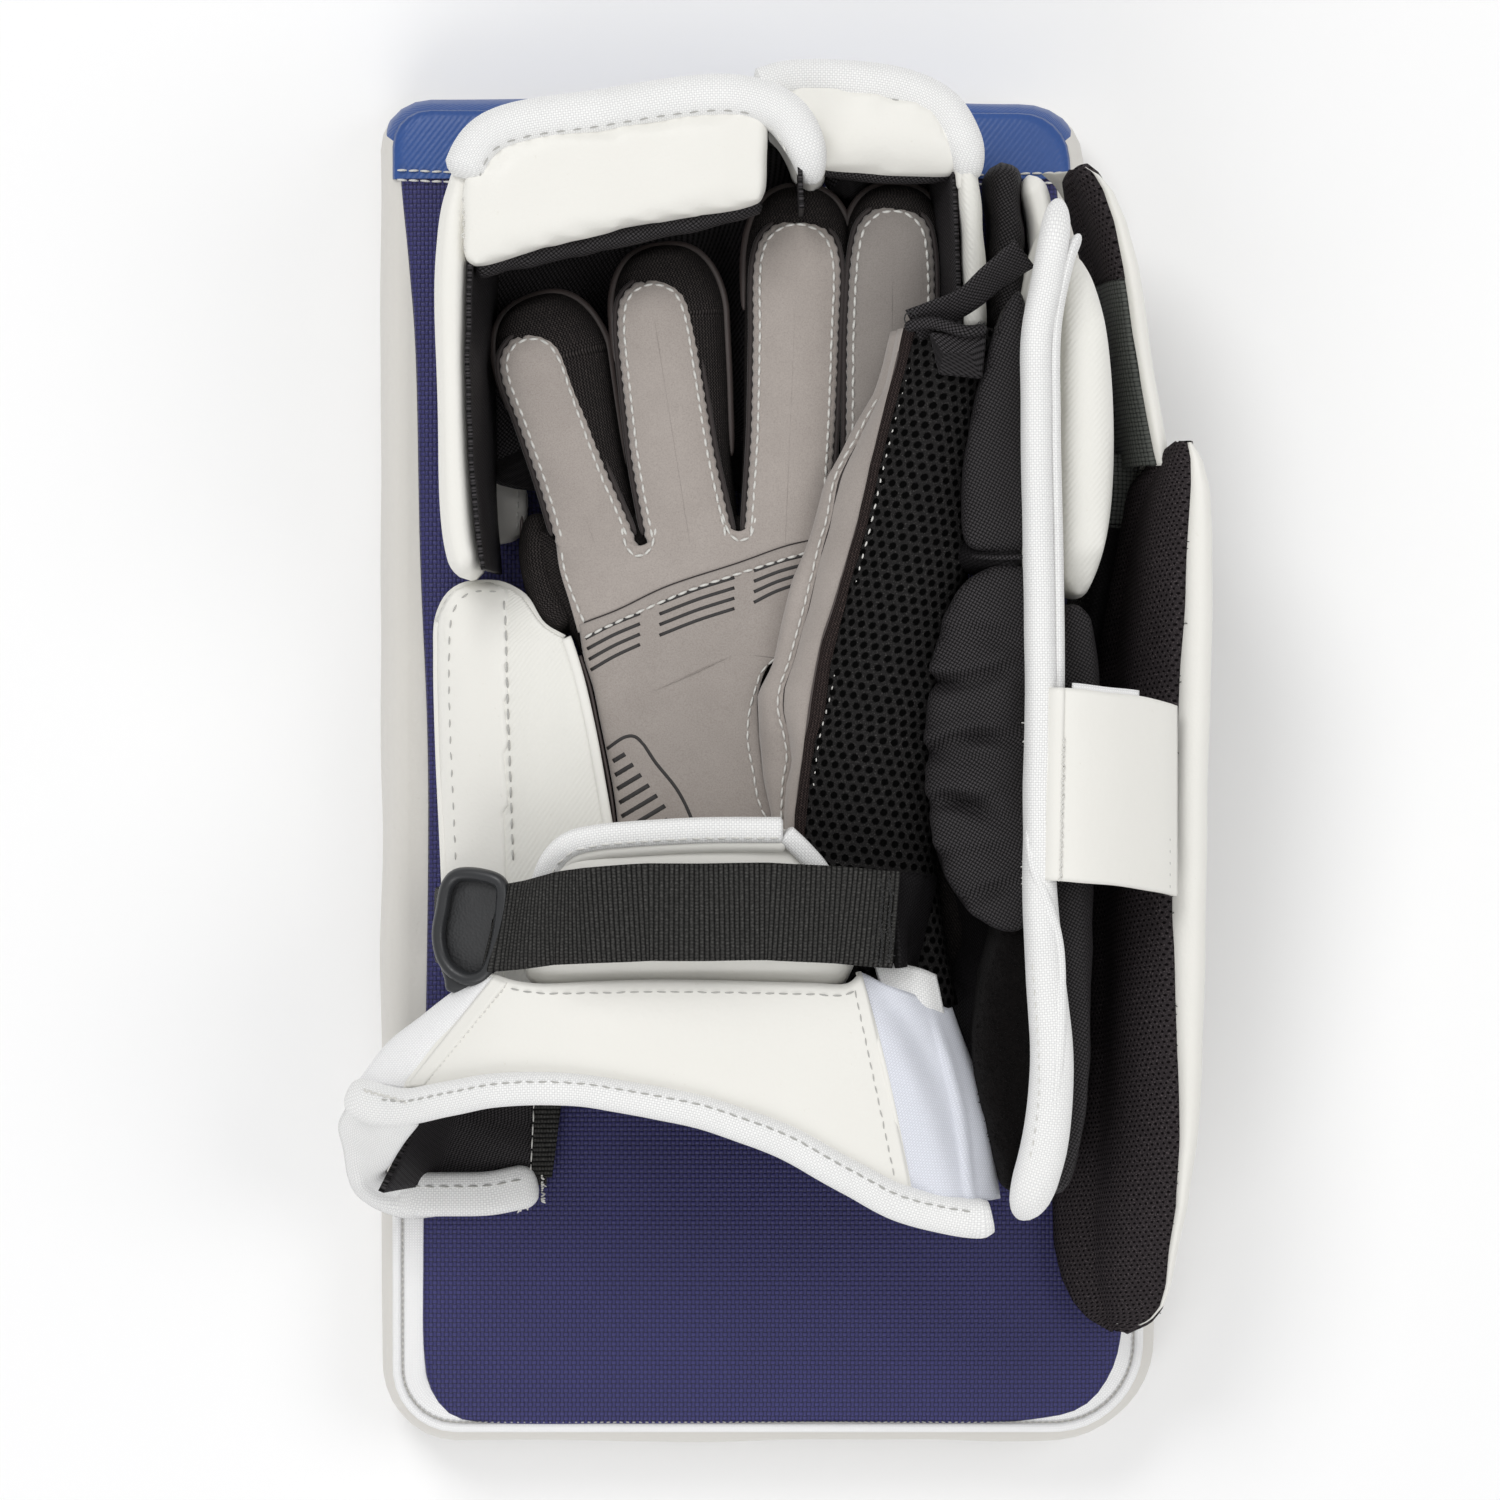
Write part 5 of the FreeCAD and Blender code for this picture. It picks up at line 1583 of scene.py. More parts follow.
def make_guard_pads():
    """The pads inside the thumb guard, the gusset between them and the loop patch."""
    upper = smooth([(64.6, 124), (58.4, 114.5), (54.6, 104), (52.0, 93), (49.4, 80), (48.2, 66), (49.2, 57),
        (55, 54.6), (64.8, 54.6), (65, 90)], 110, True)

    def sag(p):
        return (0.5 * ripple(p, 14, 5), 0, 0.9 * ripple((p.x, p.y / 2, p.z), 13, 4)
            - 0.012 * max(0.0, 64 - p.x) ** 2)

    upper_pad = pad("guard_upper_pad", upper, (80, 106.5), 1.5, (2.6, 4.0, 3.0), sag)
    finish_piece(upper_pad, "thumb_side", BLACK_NYLON, ["thumb_guard_upper_pad"])

    lower = smooth([(65, 52.8), (56, 52), (49, 48), (43.5, 38), (40.4, 22), (39.2, 7), (39.6, -8),
        (42.6, -22), (48, -33), (54.5, -39), (65, -41), (65.4, 5)], 130, True)

    def wrinkle(p):
        free = min(1.0, max(0.0, (66 - p.x) / 9))
        up = min(1.0, max(0.1, (p.z - 92) / 10))
        fold = crumple(p, 3)
        return (-0.35 * fold * up, 0, up * free * fold + 0.5 * ripple(p, 13, 2)
            - 0.007 * max(0.0, 66 - p.x) ** 2)

    lower_pad = pad("guard_lower_pad", lower, (84, 107), 1.5, (3.2, 4.0, 3.0), wrinkle)
    finish_piece(lower_pad, "thumb_side", BLACK_NYLON, ["thumb_guard_lower_pad"])
    seam = smooth([(64.4, 53.8, 108.5), (57, 53.6, 106), (52, 54.2, 100), (50.5, 55, 92)], 30)
    finish_piece(sweep("guard_pad_seam", seam, oval(1.3, 1.6, 10), scale=tapered(0.05)), "thumb_side",
        BLACK_NYLON)

    # painted shade: the gusset in the gap between the pads is in the darker nylon
    gap = smooth([(51, 54.4, 88), (56, 53.8, 94), (61, 53.4, 98), (66, 53.2, 100)], 16)
    finish_piece(sweep("guard_pad_gusset", gap, oval(9, 16, 14), scale=tapered(0.1, 0.5)), "thumb_side",
        SHADOW_NYLON)

    outer = smooth([(75.6, 131), (79.4, 127.6), (83.6, 117), (86.0, 100), (86.6, 81), (85.8, 64),
        (83.0, 51.5), (80.2, 45), (76.8, 43.5), (74.6, 50), (74.3, 90), (74.6, 120)], 130, True)

    def slope(p):
        return (0, 0, -0.5 * max(0.0, 56 - p.y) ** 1.1 - 0.02 * max(0.0, p.x - 76) ** 2
            + 0.4 * ripple(p, 18, 2))

    outer_pad = pad("guard_outer_pad", outer, (63, 106), 1.0, (2.4, 4.0, 3.0), slope)
    finish_piece(outer_pad, "thumb_side", TWILL_LEATHER, ["thumb_guard_outer_pad"])

    side = smooth([(75.5, 43), (80.4, 41), (82.2, 33), (82, 0), (80.8, -30), (80, -60), (79, -85),
        (76.5, -103), (73, -110.5), (71.6, -103), (73, -60), (73, 0)], 150, True)
    lower_side = pad("guard_outer_lower_pad", side, (58, 103), 0.8, (1.6, 3.0, 3.0),
        lambda p: (0.5 * ripple(p, 10, 2), 0, -0.03 * max(0.0, p.x - 73) ** 2 - 0.25 * max(0.0, -80 - p.y)))
    finish_piece(lower_side, "thumb_side", BLACK_NYLON)

    patch = smooth([(65, -33), (59, -33.5), (57, -44), (53.4, -56.3), (52, -64.3), (51.9, -73),
        (54.5, -86.8), (58, -99.7), (59.5, -106), (64, -106.5), (66.6, -90), (66, -60)], 130, True)
    pile_pad = pad("guard_loop_patch", patch, (62, 101), 0.6, (1.6, 3.0, 2.6),
        lambda p: (0.5 * ripple(p, 5, 2), 0, 0.6 * ripple(p, 6, 4) - 0.02 * max(0.0, 62 - p.x) ** 2))
    finish_piece(pile_pad, "thumb_side", LOOP_PILE, ["thumb_loop_patch"])
    hooks = []
    spots = [Vector((rng.uniform(51, 66), rng.uniform(-106, -33), 0)) for _ in range(900)]
    for p in settle(spots, pile_pad, -0.1):
        if p.z > 84:
            bend = random_vector((-0.8, 0.8), (-0.8, 0.8), (0.2, 0.8))
            hooks.append(sweep("loop", [p, p + bend * 0.5 + UP * 0.3, p + bend], oval(0.2, 0.2, 4)))
    finish_piece(join("loop_patch_fibres", hooks), "thumb_side", LOOP_PILE)


def make_bridge_strap():
    """The leather strap sewn over the guard's rim and down on to the side guard."""
    low, high = -27.0, 21.2
    across = smooth([(69.2, 0, 115.5), (69.4, 0, 118.4), (71.4, 0, 120.4), (75.8, 0, 120.0),
        (84.4, 0, 115.6), (93, 0, 108.4), (100, 0, 100.8), (103.0, 0, 95.8)], 44)

    def place(t, s):
        p = across[round(43 * s)]
        y = low + (high - low) * t - 4.8 * s ** 1.5 + (0.7 * ripple((p.x, t * 20, 0), 12))
        return Vector((p.x + 1.2 * (t - 0.5) * (1 - s), y, p.z + 0.8 * ripple((p.x, y, 0), 22, 3)))

    rows = grid(40, 44, place)
    sheet("bridge_strap_leather", rows, 1.6, "thumb_side", WHITE_LEATHER, ["bridge_strap"])
    hem = [[p + UP * 0.75 for p in row[2:8]] for row in rows]
    sheet("bridge_strap_hem", hem, 1.1, "thumb_side", WHITE_LEATHER)
    line = [row[7] + UP * 1.1 + Vector((0.6 * (1 if k % 2 else -1), 0, 0)) for k, row in enumerate(rows[:30])]
    sew("bridge_strap_stitches", even(line, 70), 1.5, 1.3, 0.32, "thumb_side", WHITE_THREAD)
    line = [row[40] + UP * 1.0 for row in rows[1:14]]
    sew("bridge_strap_end_stitches", line, 2.6, 1.8, 0.26, "thumb_side", GREY_THREAD)
    tab = [[row[i] + UP * -1.4 + Vector((0, 1.4, 0)) for i in range(9, 29)] for row in rows[-5:]]
    sheet("bridge_strap_lining", tab, 0.9, "thumb_side", TAPE_WOVEN)


# ---------------------------------------------------------------- the side guards
# for each guard: (y, rim outer x, rim inner x, liner left x, rim height, liner height)
LOWER_GUARD = [(-146, 95.0, 93.0, 90.0, 52, 46), (-143, 100.0, 98.8, 84.0, 55, 42),
    (-139, 103.0, 101.4, 80.4, 59, 41), (-133, 104.8, 102.8, 77.6, 63, 40),
    (-124, 106.2, 103.4, 75.8, 69, 40), (-112, 108.2, 104.7, 75.4, 76, 40),
    (-95, 110.0, 104.8, 76.6, 82, 40), (-75, 111.0, 104.2, 78.6, 87, 40), (-55, 111.4, 103.1, 79.6, 89, 40),
    (-39, 111.6, 102.2, 80.2, 90, 40), (-10, 112.0, 102.6, 80.6, 90.5, 40),
    (17, 112.5, 103.6, 82.2, 91.5, 40), (40, 113.0, 105.0, 84.6, 92, 41), (60, 113.2, 106.2, 89.0, 93, 46),
    (72, 112.4, 106.8, 93.4, 94, 58), (79, 110.6, 106.8, 98.6, 94, 74), (83.4, 108.0, 106.4, 104.2, 92, 86)]
UPPER_GUARD = [
    (78, 103.4, 99.0, 87.2, 82, 42), (88, 101.6, 97.2, 86.8, 81, 42), (100, 99.6, 95.0, 86.2, 80, 42),
    (115, 97.6, 92.8, 85.2, 79, 42), (130, 95.2, 90.6, 83.2, 77, 42), (141, 92.4, 88.4, 80.6, 75, 43),
    (149, 89.0, 86.0, 78.0, 72, 45), (153.5, 85.6, 83.8, 77.0, 69, 50), (156, 82.4, 81.6, 78.6, 64, 56),
]


def guard_at(table, y):
    """A side guard's measures at y, read from its table."""
    ys = [row[0] for row in table]
    return [float(np.interp(y, ys, [row[k] for row in table])) for k in range(1, 6)]


def make_side_guard(name, body, table, base_z, count, liner_replaces, shell_replaces, shell_range,
        split=None):
    """A leather shell with a rounded rim, lined with dimpled mesh that bulges and then creases."""
    shell, liner = [], []
    first, last = table[0][0], table[-1][0]
    marks = smooth([(row[0], row[1], row[4]) for row in table], count)
    for k in range(count):
        y = marks[k].x
        out_x, in_x, left_x, top, low = guard_at(table, y)
        wave = 0.5 * ripple((out_x, y, 0), 24, 6)
        fade = math.sin(PI * min(1.0, max(0.0, (y - first) / (last - first))))
        floor = base_z + 6 * (1 - min(1.0, fade * 4))
        ring = []
        wide = out_x - in_x
        outer = [(out_x - 11 * (1 - t) ** 1.6, floor + (top - 4 - floor) * t)
            for t in (0, 0.2, 0.4, 0.6, 0.8, 1.0)]
        crown = [(in_x + wide / 2 + wide / 2 * math.cos(a), top - 4 + 4 * math.sin(a))
            for a in (0.35, 0.8, 1.25, 1.6, 2.0, 2.5, 2.9)]
        inner = [(in_x + 0.6, top - 7), (in_x + 0.4, top - 12), (max(left_x + 4, in_x - 5), floor + 6),
            (max(left_x + 3, in_x - 7), floor + 1)]
        for x, z in outer + crown + inner:
            ring.append(Vector((x + wave, y, max(z, floor))))
        if shell_range[0] < y < shell_range[1]:
            shell.append(ring)
        row = []
        reach = in_x - left_x
        drop = top - 2.5 - low
        for t, fall in ((0.0, 0.03), (0.04, 0.0), (0.10, 0.01), (0.22, 0.05), (0.36, 0.11), (0.48, 0.20),
                        (0.56, 0.32), (0.61, 0.46), (0.65, 0.56), (0.70, 0.60), (0.78, 0.66), (0.87, 0.76),
                        (0.95, 0.89), (1.0, 1.0)):
            p = Vector((in_x + 0.7 - reach * t, y, top - 2.5 - drop * fall))
            row.append(p + Vector((wave, 0, 0.9 * ripple(p, 17, 4))))
        liner.append(row)
    wall = skin(name + "_shell_leather", shell, closed=True, caps=True)
    weld(wall)
    finish_piece(wall, body, WHITE_LEATHER, [shell_replaces])
    if split is None:
        sheet(name + "_liner_mesh", liner, 2.4, body, DIMPLED, [liner_replaces])
    else:
        cut = min(range(count), key=lambda k: abs(marks[k].x - split))
        sheet(name + "_liner_mesh", liner[cut:], 2.4, body, DIMPLED, [liner_replaces])
        sheet(name + "_liner_nylon", liner[: cut + 2], 1.8, body, COARSE_NYLON)
        line = even([p + UP * 1.6 for p in liner[cut][2:]], 20)
        sew(name + "_liner_stitches", line, 2.6, 2.0, 0.3, body, BLACK_THREAD)
    return liner


def web_point(y, u):
    """A point on the nylon under the upper side guard."""
    x = 79 + 15 * u + 0.2 * (y - 63) * u
    return Vector((x, y, 52 + 12 * math.sin(0.3 + 2.2 * u) - 0.2 * (82 - y) + 0.6 * ripple((x, y, 0), 9, 2)))


def make_side_guards():
    """The long lower guard with its frayed edge, and the upper guard with its web."""
    liner = make_side_guard("lower_guard", "thumb_side", LOWER_GUARD, 39, 130, "lower_side_guard_liner",
        "lower_side_guard", (-144.5, 90))
    frays = []
    for _ in range(46):
        row = liner[rng.randrange(6, len(liner) - 6)]
        bend = random_vector((-0.4, 1.6), (-1.2, 1.2), (0.2, 0.9))
        frays.append(strand(row[1] + UP * 0.8, bend, 5, 0.24, 0.24))
    finish_piece(join("lower_guard_frayed_edge", frays), "thumb_side", BLACK_THREAD)
    make_side_guard("upper_guard", "upper_side_guard", UPPER_GUARD, 40, 70, "upper_side_guard_liner",
        "upper_side_guard", (60, 160), 126)
    # painted shade: the lower, deeper part of the web is in the darker nylon
    for name, high, low, finish in (("coarse", 82, 63, COARSE_NYLON), ("deep", 64, 26, SHADOW_NYLON)):
        rows = grid(16, 12, lambda v, u: web_point(high + (low - high) * v, u))
        sheet("upper_guard_web_" + name, rows, 1.6, "upper_side_guard", finish)


def make_inner_side_pad():
    """The nylon pad beside the index finger, and its leather cover."""
    line = smooth([(61.6, 96), (62, 120), (61.8, 140), (61.2, 150), (60.4, 157.5)], 60)
    low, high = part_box("inner_side_pad")
    inner = hood_wall("inner_pad_nylon", line, low.z / MM, high.z / MM - 2, 9.4, 0.0, (0.05, 0.06))
    reshape(inner, lambda p: (0.7 * math.sin(p.y / 2.4) * 0.35, 0, 0.5 * ripple(p, 5, 4)))
    finish_piece(inner, "board", BLACK_NYLON, ["inner_side_pad"])
    line = smooth([(71.2, 92), (71.8, 120), (71.4, 138), (70.0, 147), (67.6, 154.5)], 60)
    low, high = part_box("inner_side_pad_cover")
    cover = hood_wall("inner_pad_leather", line, low.z / MM, high.z / MM, 7.4, 0.0, (0.05, 0.08))
    finish_piece(cover, "board", WHITE_LEATHER, ["inner_side_pad_cover"])


make_guard_core()
make_guard_pads()
make_bridge_strap()
make_side_guards()
make_inner_side_pad()


# ---------------------------------------------------------------- the panel beside the wrist
WRIST_EDGE = [(-82.0, -56), (-83.4, -23.1), (-84.8, 5.0), (-85.4, 29.7), (-85.0, 39), (-82.1, 45.2),
    (-78.6, 47.6), (-74.2, 48.2), (-69.7, 47.9), (-66.0, 46.4), (-62.6, 44.0), (-57.9, 37.2), (-52.4, 33.8)]
WRIST_RIGHT = [(-38.4, -56), (-39.7, -14.2), (-41.5, -3.9), (-44.0, 9.9), (-47.4, 24.6), (-50.2, 33.4)]


def wrist_level(x, y):
    """How high the wrist panel stands at a place."""
    base = float(np.interp(x, (-86, -83, -78, -70, -60, -50, -40), (57, 62, 65.5, 69.5, 73.5, 76, 77)))
    end = max(0.0, y - 40)
    dent = 2.2 * math.exp(-((x + 77) ** 2 / 26 + (y - 37) ** 2 / 90))
    return base - 0.05 * end**2 - dent + 0.5 * ripple((x, y, 0), 22, 8)


def make_wrist_panel():
    """The leather panel over the wrist: its side, edge, overlay, trim and stitching."""
    left, right = [], []
    for k in range(56):
        y = -56 + 104 * k / 55
        left.append((across_at(WRIST_EDGE[:8], y), y))
        right.append((across_at(WRIST_RIGHT + WRIST_EDGE[7:13][::-1], y), y))
    rows = []
    for (x1, y), (x2, _) in zip(left, right):
        rows.append([Vector((x1 + (x2 - x1) * k / 27, y, wrist_level(x1 + (x2 - x1) * k / 27, y)))
            for k in range(28)])
    sheet("wrist_panel_leather", rows, 2.2, "board", TWILL_LEATHER, ["wrist_side_panel"])
    cover = [[p + UP * 0.75 for p in row if p.x < -66.4] for row in rows]
    cover = [even(row, 15) for row in cover if len(row) > 3]
    sheet("wrist_panel_overlay", cover, 1.4, "board", WHITE_LEATHER)
    ring = smooth(WRIST_EDGE, 90)
    wall = []
    for p in ring:
        top = wrist_level(p.x, p.y) - 0.4
        foot = p + Vector((0.8 * ripple(p, 20, 3), 0, 0))
        wall.append([Vector((foot.x, foot.y, 33.5 + (top - 33.5) * t))
            for t in (0, 0.25, 0.5, 0.75, 0.92, 1.0)])
    sheet("wrist_panel_side", wall, 2.2, "board", WHITE_LEATHER)
    bead = [Vector((p.x, p.y, wrist_level(p.x, p.y) + 0.3)) for p in ring[:62]]
    finish_piece(sweep("wrist_panel_edge", bead, oval(2.6, 3.2, 12)), "board", WHITE_LEATHER)
    edge = smooth([(x - 1.1, y) for x, y in WRIST_RIGHT[1:]] + [(-51.6, 34.0)], 50)
    strip = [Vector((p.x, p.y, wrist_level(p.x, p.y) + 1.0)) for p in edge]
    finish_piece(sweep("wrist_panel_trim", strip, oval(2.6, 1.8, 12, 3)), "board", WHITE_LEATHER)

    def on_panel(points, lift):
        return [Vector((p.x, p.y, wrist_level(p.x, p.y) + lift)) for p in smooth(points, 90)]

    outer = [(-80.5, -23.1), (-81.3, -4.9), (-82.0, 10.9), (-82.3, 26.7), (-82.0, 37.5), (-81.0, 41.5),
        (-79.1, 44.6), (-75.0, 46.2), (-71, 46.2), (-68.2, 45.4)]
    middle = [(-65.4, -23.0), (-66.0, -4.9), (-66.5, 8.4), (-67.0, 24.6), (-67.4, 39.4), (-68.0, 45.1)]
    rows = [stitches("outer", on_panel(outer, 1.6), 4.2, 2.4, 0.24),
        stitches("middle", on_panel(middle, 1.5), 3.9, 2.5, 0.3)]
    finish_piece(join("wrist_panel_stitches", rows), "board", GREY_THREAD)


def make_hood_tab():
    """The small leather tab by the finger hood's foot."""
    outline = smooth([(-73.4, 60), (-74.2, 68), (-73.0, 75.5), (-66, 76.4), (-63.4, 74), (-63.8, 63),
        (-67, 60)], 70, True, 38)
    tab = pillow("hood_tab_leather", outline, ((-69, 66, 38), (-69, 70, 38)), 6.2, 5.0, 7, 5.0)
    finish_piece(tab, "board", SIDE_LEATHER, ["hood_anchor_tab"])
    line = smooth([(-65.4, 63, 44.2), (-65.2, 74, 44.2)], 12)
    sew("hood_tab_stitches", line, 2.6, 1.8, 0.28, "board", WHITE_THREAD)


# ---------------------------------------------------------------- the cuff
CUFF_TOP = [(-69, -52.0, 100.5), (-64, -53.8, 103.5), (-57, -55, 105.5), (-44, -55, 106.5),
    (-29, -54.6, 107), (-10, -54.6, 107), (10, -54.6, 106.5), (20, -54.4, 105.5), (23.2, -51.5, 104.5)]
CUFF_LOW = [(-92, -80.6, 85), (-84.2, -79.6, 92), (-73.1, -77.2, 100), (-58.4, -76.2, 107),
    (-46.6, -76.8, 110), (-33.3, -78.3, 111.5), (-17.7, -81, 112), (-8, -83.4, 112), (2.3, -87.4, 111),
    (15.9, -94.6, 109), (25.5, -100.4, 106.5), (35.6, -106.4, 103.5)]
HEM = [(-105.4, -83.2, 76), (-101.5, -84.9, 80), (-96.5, -85.6, 84.5), (-90.5, -85.2, 90),
    (-80.5, -82.8, 98), (-70, -80.6, 104.5), (-56, -79.6, 109.5), (-44, -80.4, 111.5), (-30, -82.6, 112.5),
    (-17.4, -85.2, 112.5), (-8, -88.0, 112), (2, -92.0, 111), (10.5, -96.3, 109.5), (21, -102.2, 107),
    (32.5, -108.4, 104), (44, -111.6, 101.5), (53.4, -112.8, 100), (56.2, -112.4, 99.6)]


def panel(top, bottom, columns, steps, bulge, wave=0.35, size=20.0, seed=1):
    """Rows of points between two lines, cushioned between them."""
    rows = []
    upper, lower = smooth(top, columns), smooth(bottom, columns)
    for k in range(steps):
        v = k / (steps - 1)
        row = []
        for a, b in zip(upper, lower):
            p = a.lerp(b, v)
            rise = bulge * math.sin(PI * v) ** 0.7 if 0 < v < 1 else 0.0
            row.append(p + UP * (rise + wave * ripple(p, size, seed)))
        rows.append(row)
    return rows


def row_point(rows, v, u, lift=0.0):
    """The point at shares v down and u across rows of points."""
    k = min(len(rows) - 1, round(v * (len(rows) - 1)))
    c = min(len(rows[0]) - 1, round(u * (len(rows[0]) - 1)))
    return rows[k][c] + UP * lift


def make_cuff():
    """The palm half of the cuff: leather, lining, binding, hem, side tape and corner overlay."""
    rows = panel(CUFF_TOP, CUFF_LOW, 110, 30, 3.0, 0.35, 24)
    shell = skin("cuff_leather", [[p - UP * 3.0 for p in row] for row in rows])
    thicken(shell, 6.4)
    finish_piece(shell, "cuff_flap", WHITE_LEATHER, ["cuff_palm_shell"])
    under = [[p - UP * 8.2 for p in row[4:-2]] for row in rows]
    sheet("cuff_lining_nylon", under, 1.4, "cuff_flap", BLACK_NYLON, ["cuff_lining"])
    line = [row_point(rows, 0.04 + 0.92 * k / 40, 1.0 - 0.028) for k in range(41)]
    right = stitches("right", settle(even(line, 60), shell, 0.05), 3.0, 1.9, 0.17)
    line = [row_point(rows, 0.02, 0.06 + 0.92 * k / 80) for k in range(81)]
    top = stitches("top", settle(even(line, 90), shell, 0.1), 3.4, 2.2, 0.22)
    finish_piece(join("cuff_stitches", [right, top]), "cuff_flap", GREY_THREAD)

    over = [[p + UP * 0.7 for p in row[0:6]] for row in rows]
    sheet("cuff_corner_overlay", over, 1.3, "cuff_flap", WHITE_LEATHER)
    zigzag = [row[5] + UP * 0.8 + Vector((0.7 * (1 if k % 2 else -1), 0, 0)) for k, row in enumerate(rows)]
    sew("cuff_corner_stitches", even(zigzag, 60), 2.2, 1.8, 0.25, "cuff_flap", WHITE_THREAD)

    edge = [(-70.4, -52.6, 98), (-78.1, -56.1, 94), (-88.5, -63.9, 88), (-96.7, -70.4, 82),
        (-104.0, -79.8, 76)]
    foot = [(p[0] - 1.0, p[1] - 0.5, 60 + 0.16 * (p[0] + 104)) for p in edge]
    inner = [(row[0].x + 0.6, row[0].y, row[0].z - 0.2) for row in rows[::4]] + [tuple(rows[-1][0])]
    side = panel(inner, edge, 40, 14, 1.6, 0.4, 12, 4)
    side += panel(edge, foot, 40, 10, 0.0, 0.4, 16, 5)[1:]
    sheet("cuff_side_tape", side, 1.6, "cuff_flap", TAPE_WOVEN)

    make_gusset()
    hem = smooth(HEM, 190)
    hem = [p + Vector((0, 0.3 * ripple(p, 14, 2), 0.25 * ripple(p, 9, 7))) for p in hem]

    def swell(t):
        first = min(1.0, t / 0.03)
        last = min(1.0, (1 - t) / 0.012)
        k = min(0.75 + 0.25 * math.sqrt(first), 0.8 + 0.2 * last)
        wide = float(np.interp(t, (0, 0.05, 0.12, 0.4, 0.8, 1), (1.25, 1.2, 1.0, 0.88, 0.98, 1.12)))
        return (k * wide, k * float(np.interp(t, (0, 0.08, 1), (1.2, 1.0, 1.0))))

    band = sweep("cuff_hem", hem, oval(9.2, 8.4, 26, 2.5), scale=swell)
    finish_piece(band, "cuff_flap", WHITE_WOVEN, ["cuff_binding"])
    line = settle([p + Vector((0.5, 1.9, 0)) for p in hem[10:-5]], band, 0.12)
    sew("cuff_hem_stitches", line, 3.2, 1.9, 0.24, "cuff_flap", GREY_THREAD)
    puckers = [Vector((-103.0 + 0.46 * k, -81.0 - 0.10 * k - 0.9 * (k % 2), 0)) for k in range(26)]
    puckers = settle(puckers, band, 0.1)
    sew("cuff_corner_bar_stitches", puckers, 1.5, 1.5, 0.27, "cuff_flap", WHITE_THREAD)
    make_cuff_roll()


def make_gusset():
    """The satin gusset on the thumb side of the cuff, with its folds."""
    left = [(22.8, -50.6, 103), (24.6, -57, 104.2), (27.1, -66.0, 106), (31.1, -82.9, 106.4),
        (36.1, -107.5, 102.6)]
    right = [(44.9, -60.5, 94), (47.0, -66.5, 94.5), (50.9, -77.0, 95), (54.1, -88.3, 95.5),
        (57.0, -108.5, 97)]
    rows = []
    upper, lower = smooth(left, 46), smooth(right, 46)
    for k in range(46):
        row = []
        for i in range(26):
            t = i / 25
            p = upper[k].lerp(lower[k], t)
            p.z += 3.4 * math.sin(PI * t) ** 0.8
            crease = math.exp(-(((p.x - 26) * 0.55 + (p.y + 54) * 0.42 + 0.004 * (p.y + 60) ** 2) / 2.6) ** 2)
            fold = 1.3 * math.sin((p.x * 0.9 + p.y * 0.34) / 4.4 + ripple(p, 17, 6)) * math.sin(PI * t)
            ridge = 1.5 * math.exp(-((t - 0.80 + 0.10 * k / 45) / 0.05) ** 2) * min(1.0, k / 12)
            row.append(p + UP * (ridge - 2.2 * crease * math.sin(PI * t) + fold * 0.6
                + 0.35 * ripple(p, 10, 3)))
        end = row[-1]
        row += [end + Vector((1.0, 0, -2.5)), end + Vector((1.2, 0, -8.0))]
        rows.append(row)
    sheet("cuff_gusset_satin", [[p - UP * 1.0 for p in row] for row in rows], 2.0, "cuff_flap", SATIN,
        ["cuff_gusset"])
    seam = [rows[k][0] + UP * 0.1 for k in range(46)]
    finish_piece(sweep("cuff_gusset_seam", seam, oval(1.5, 1.3, 10)), "cuff_flap", WHITE_LEATHER)
    flap = panel([(27, -49.2, 99), (33, -49.0, 98.5), (38.5, -50.2, 97), (42.3, -51.8, 95)],
        [(29, -56, 101.6), (34, -58.5, 100.8), (40, -61, 98), (44.6, -62.5, 94.2)], 24, 10, 1.0, 0.5, 6, 2)
    sheet("cuff_gusset_tape", flap, 1.4, "cuff_flap", WHITE_WOVEN)


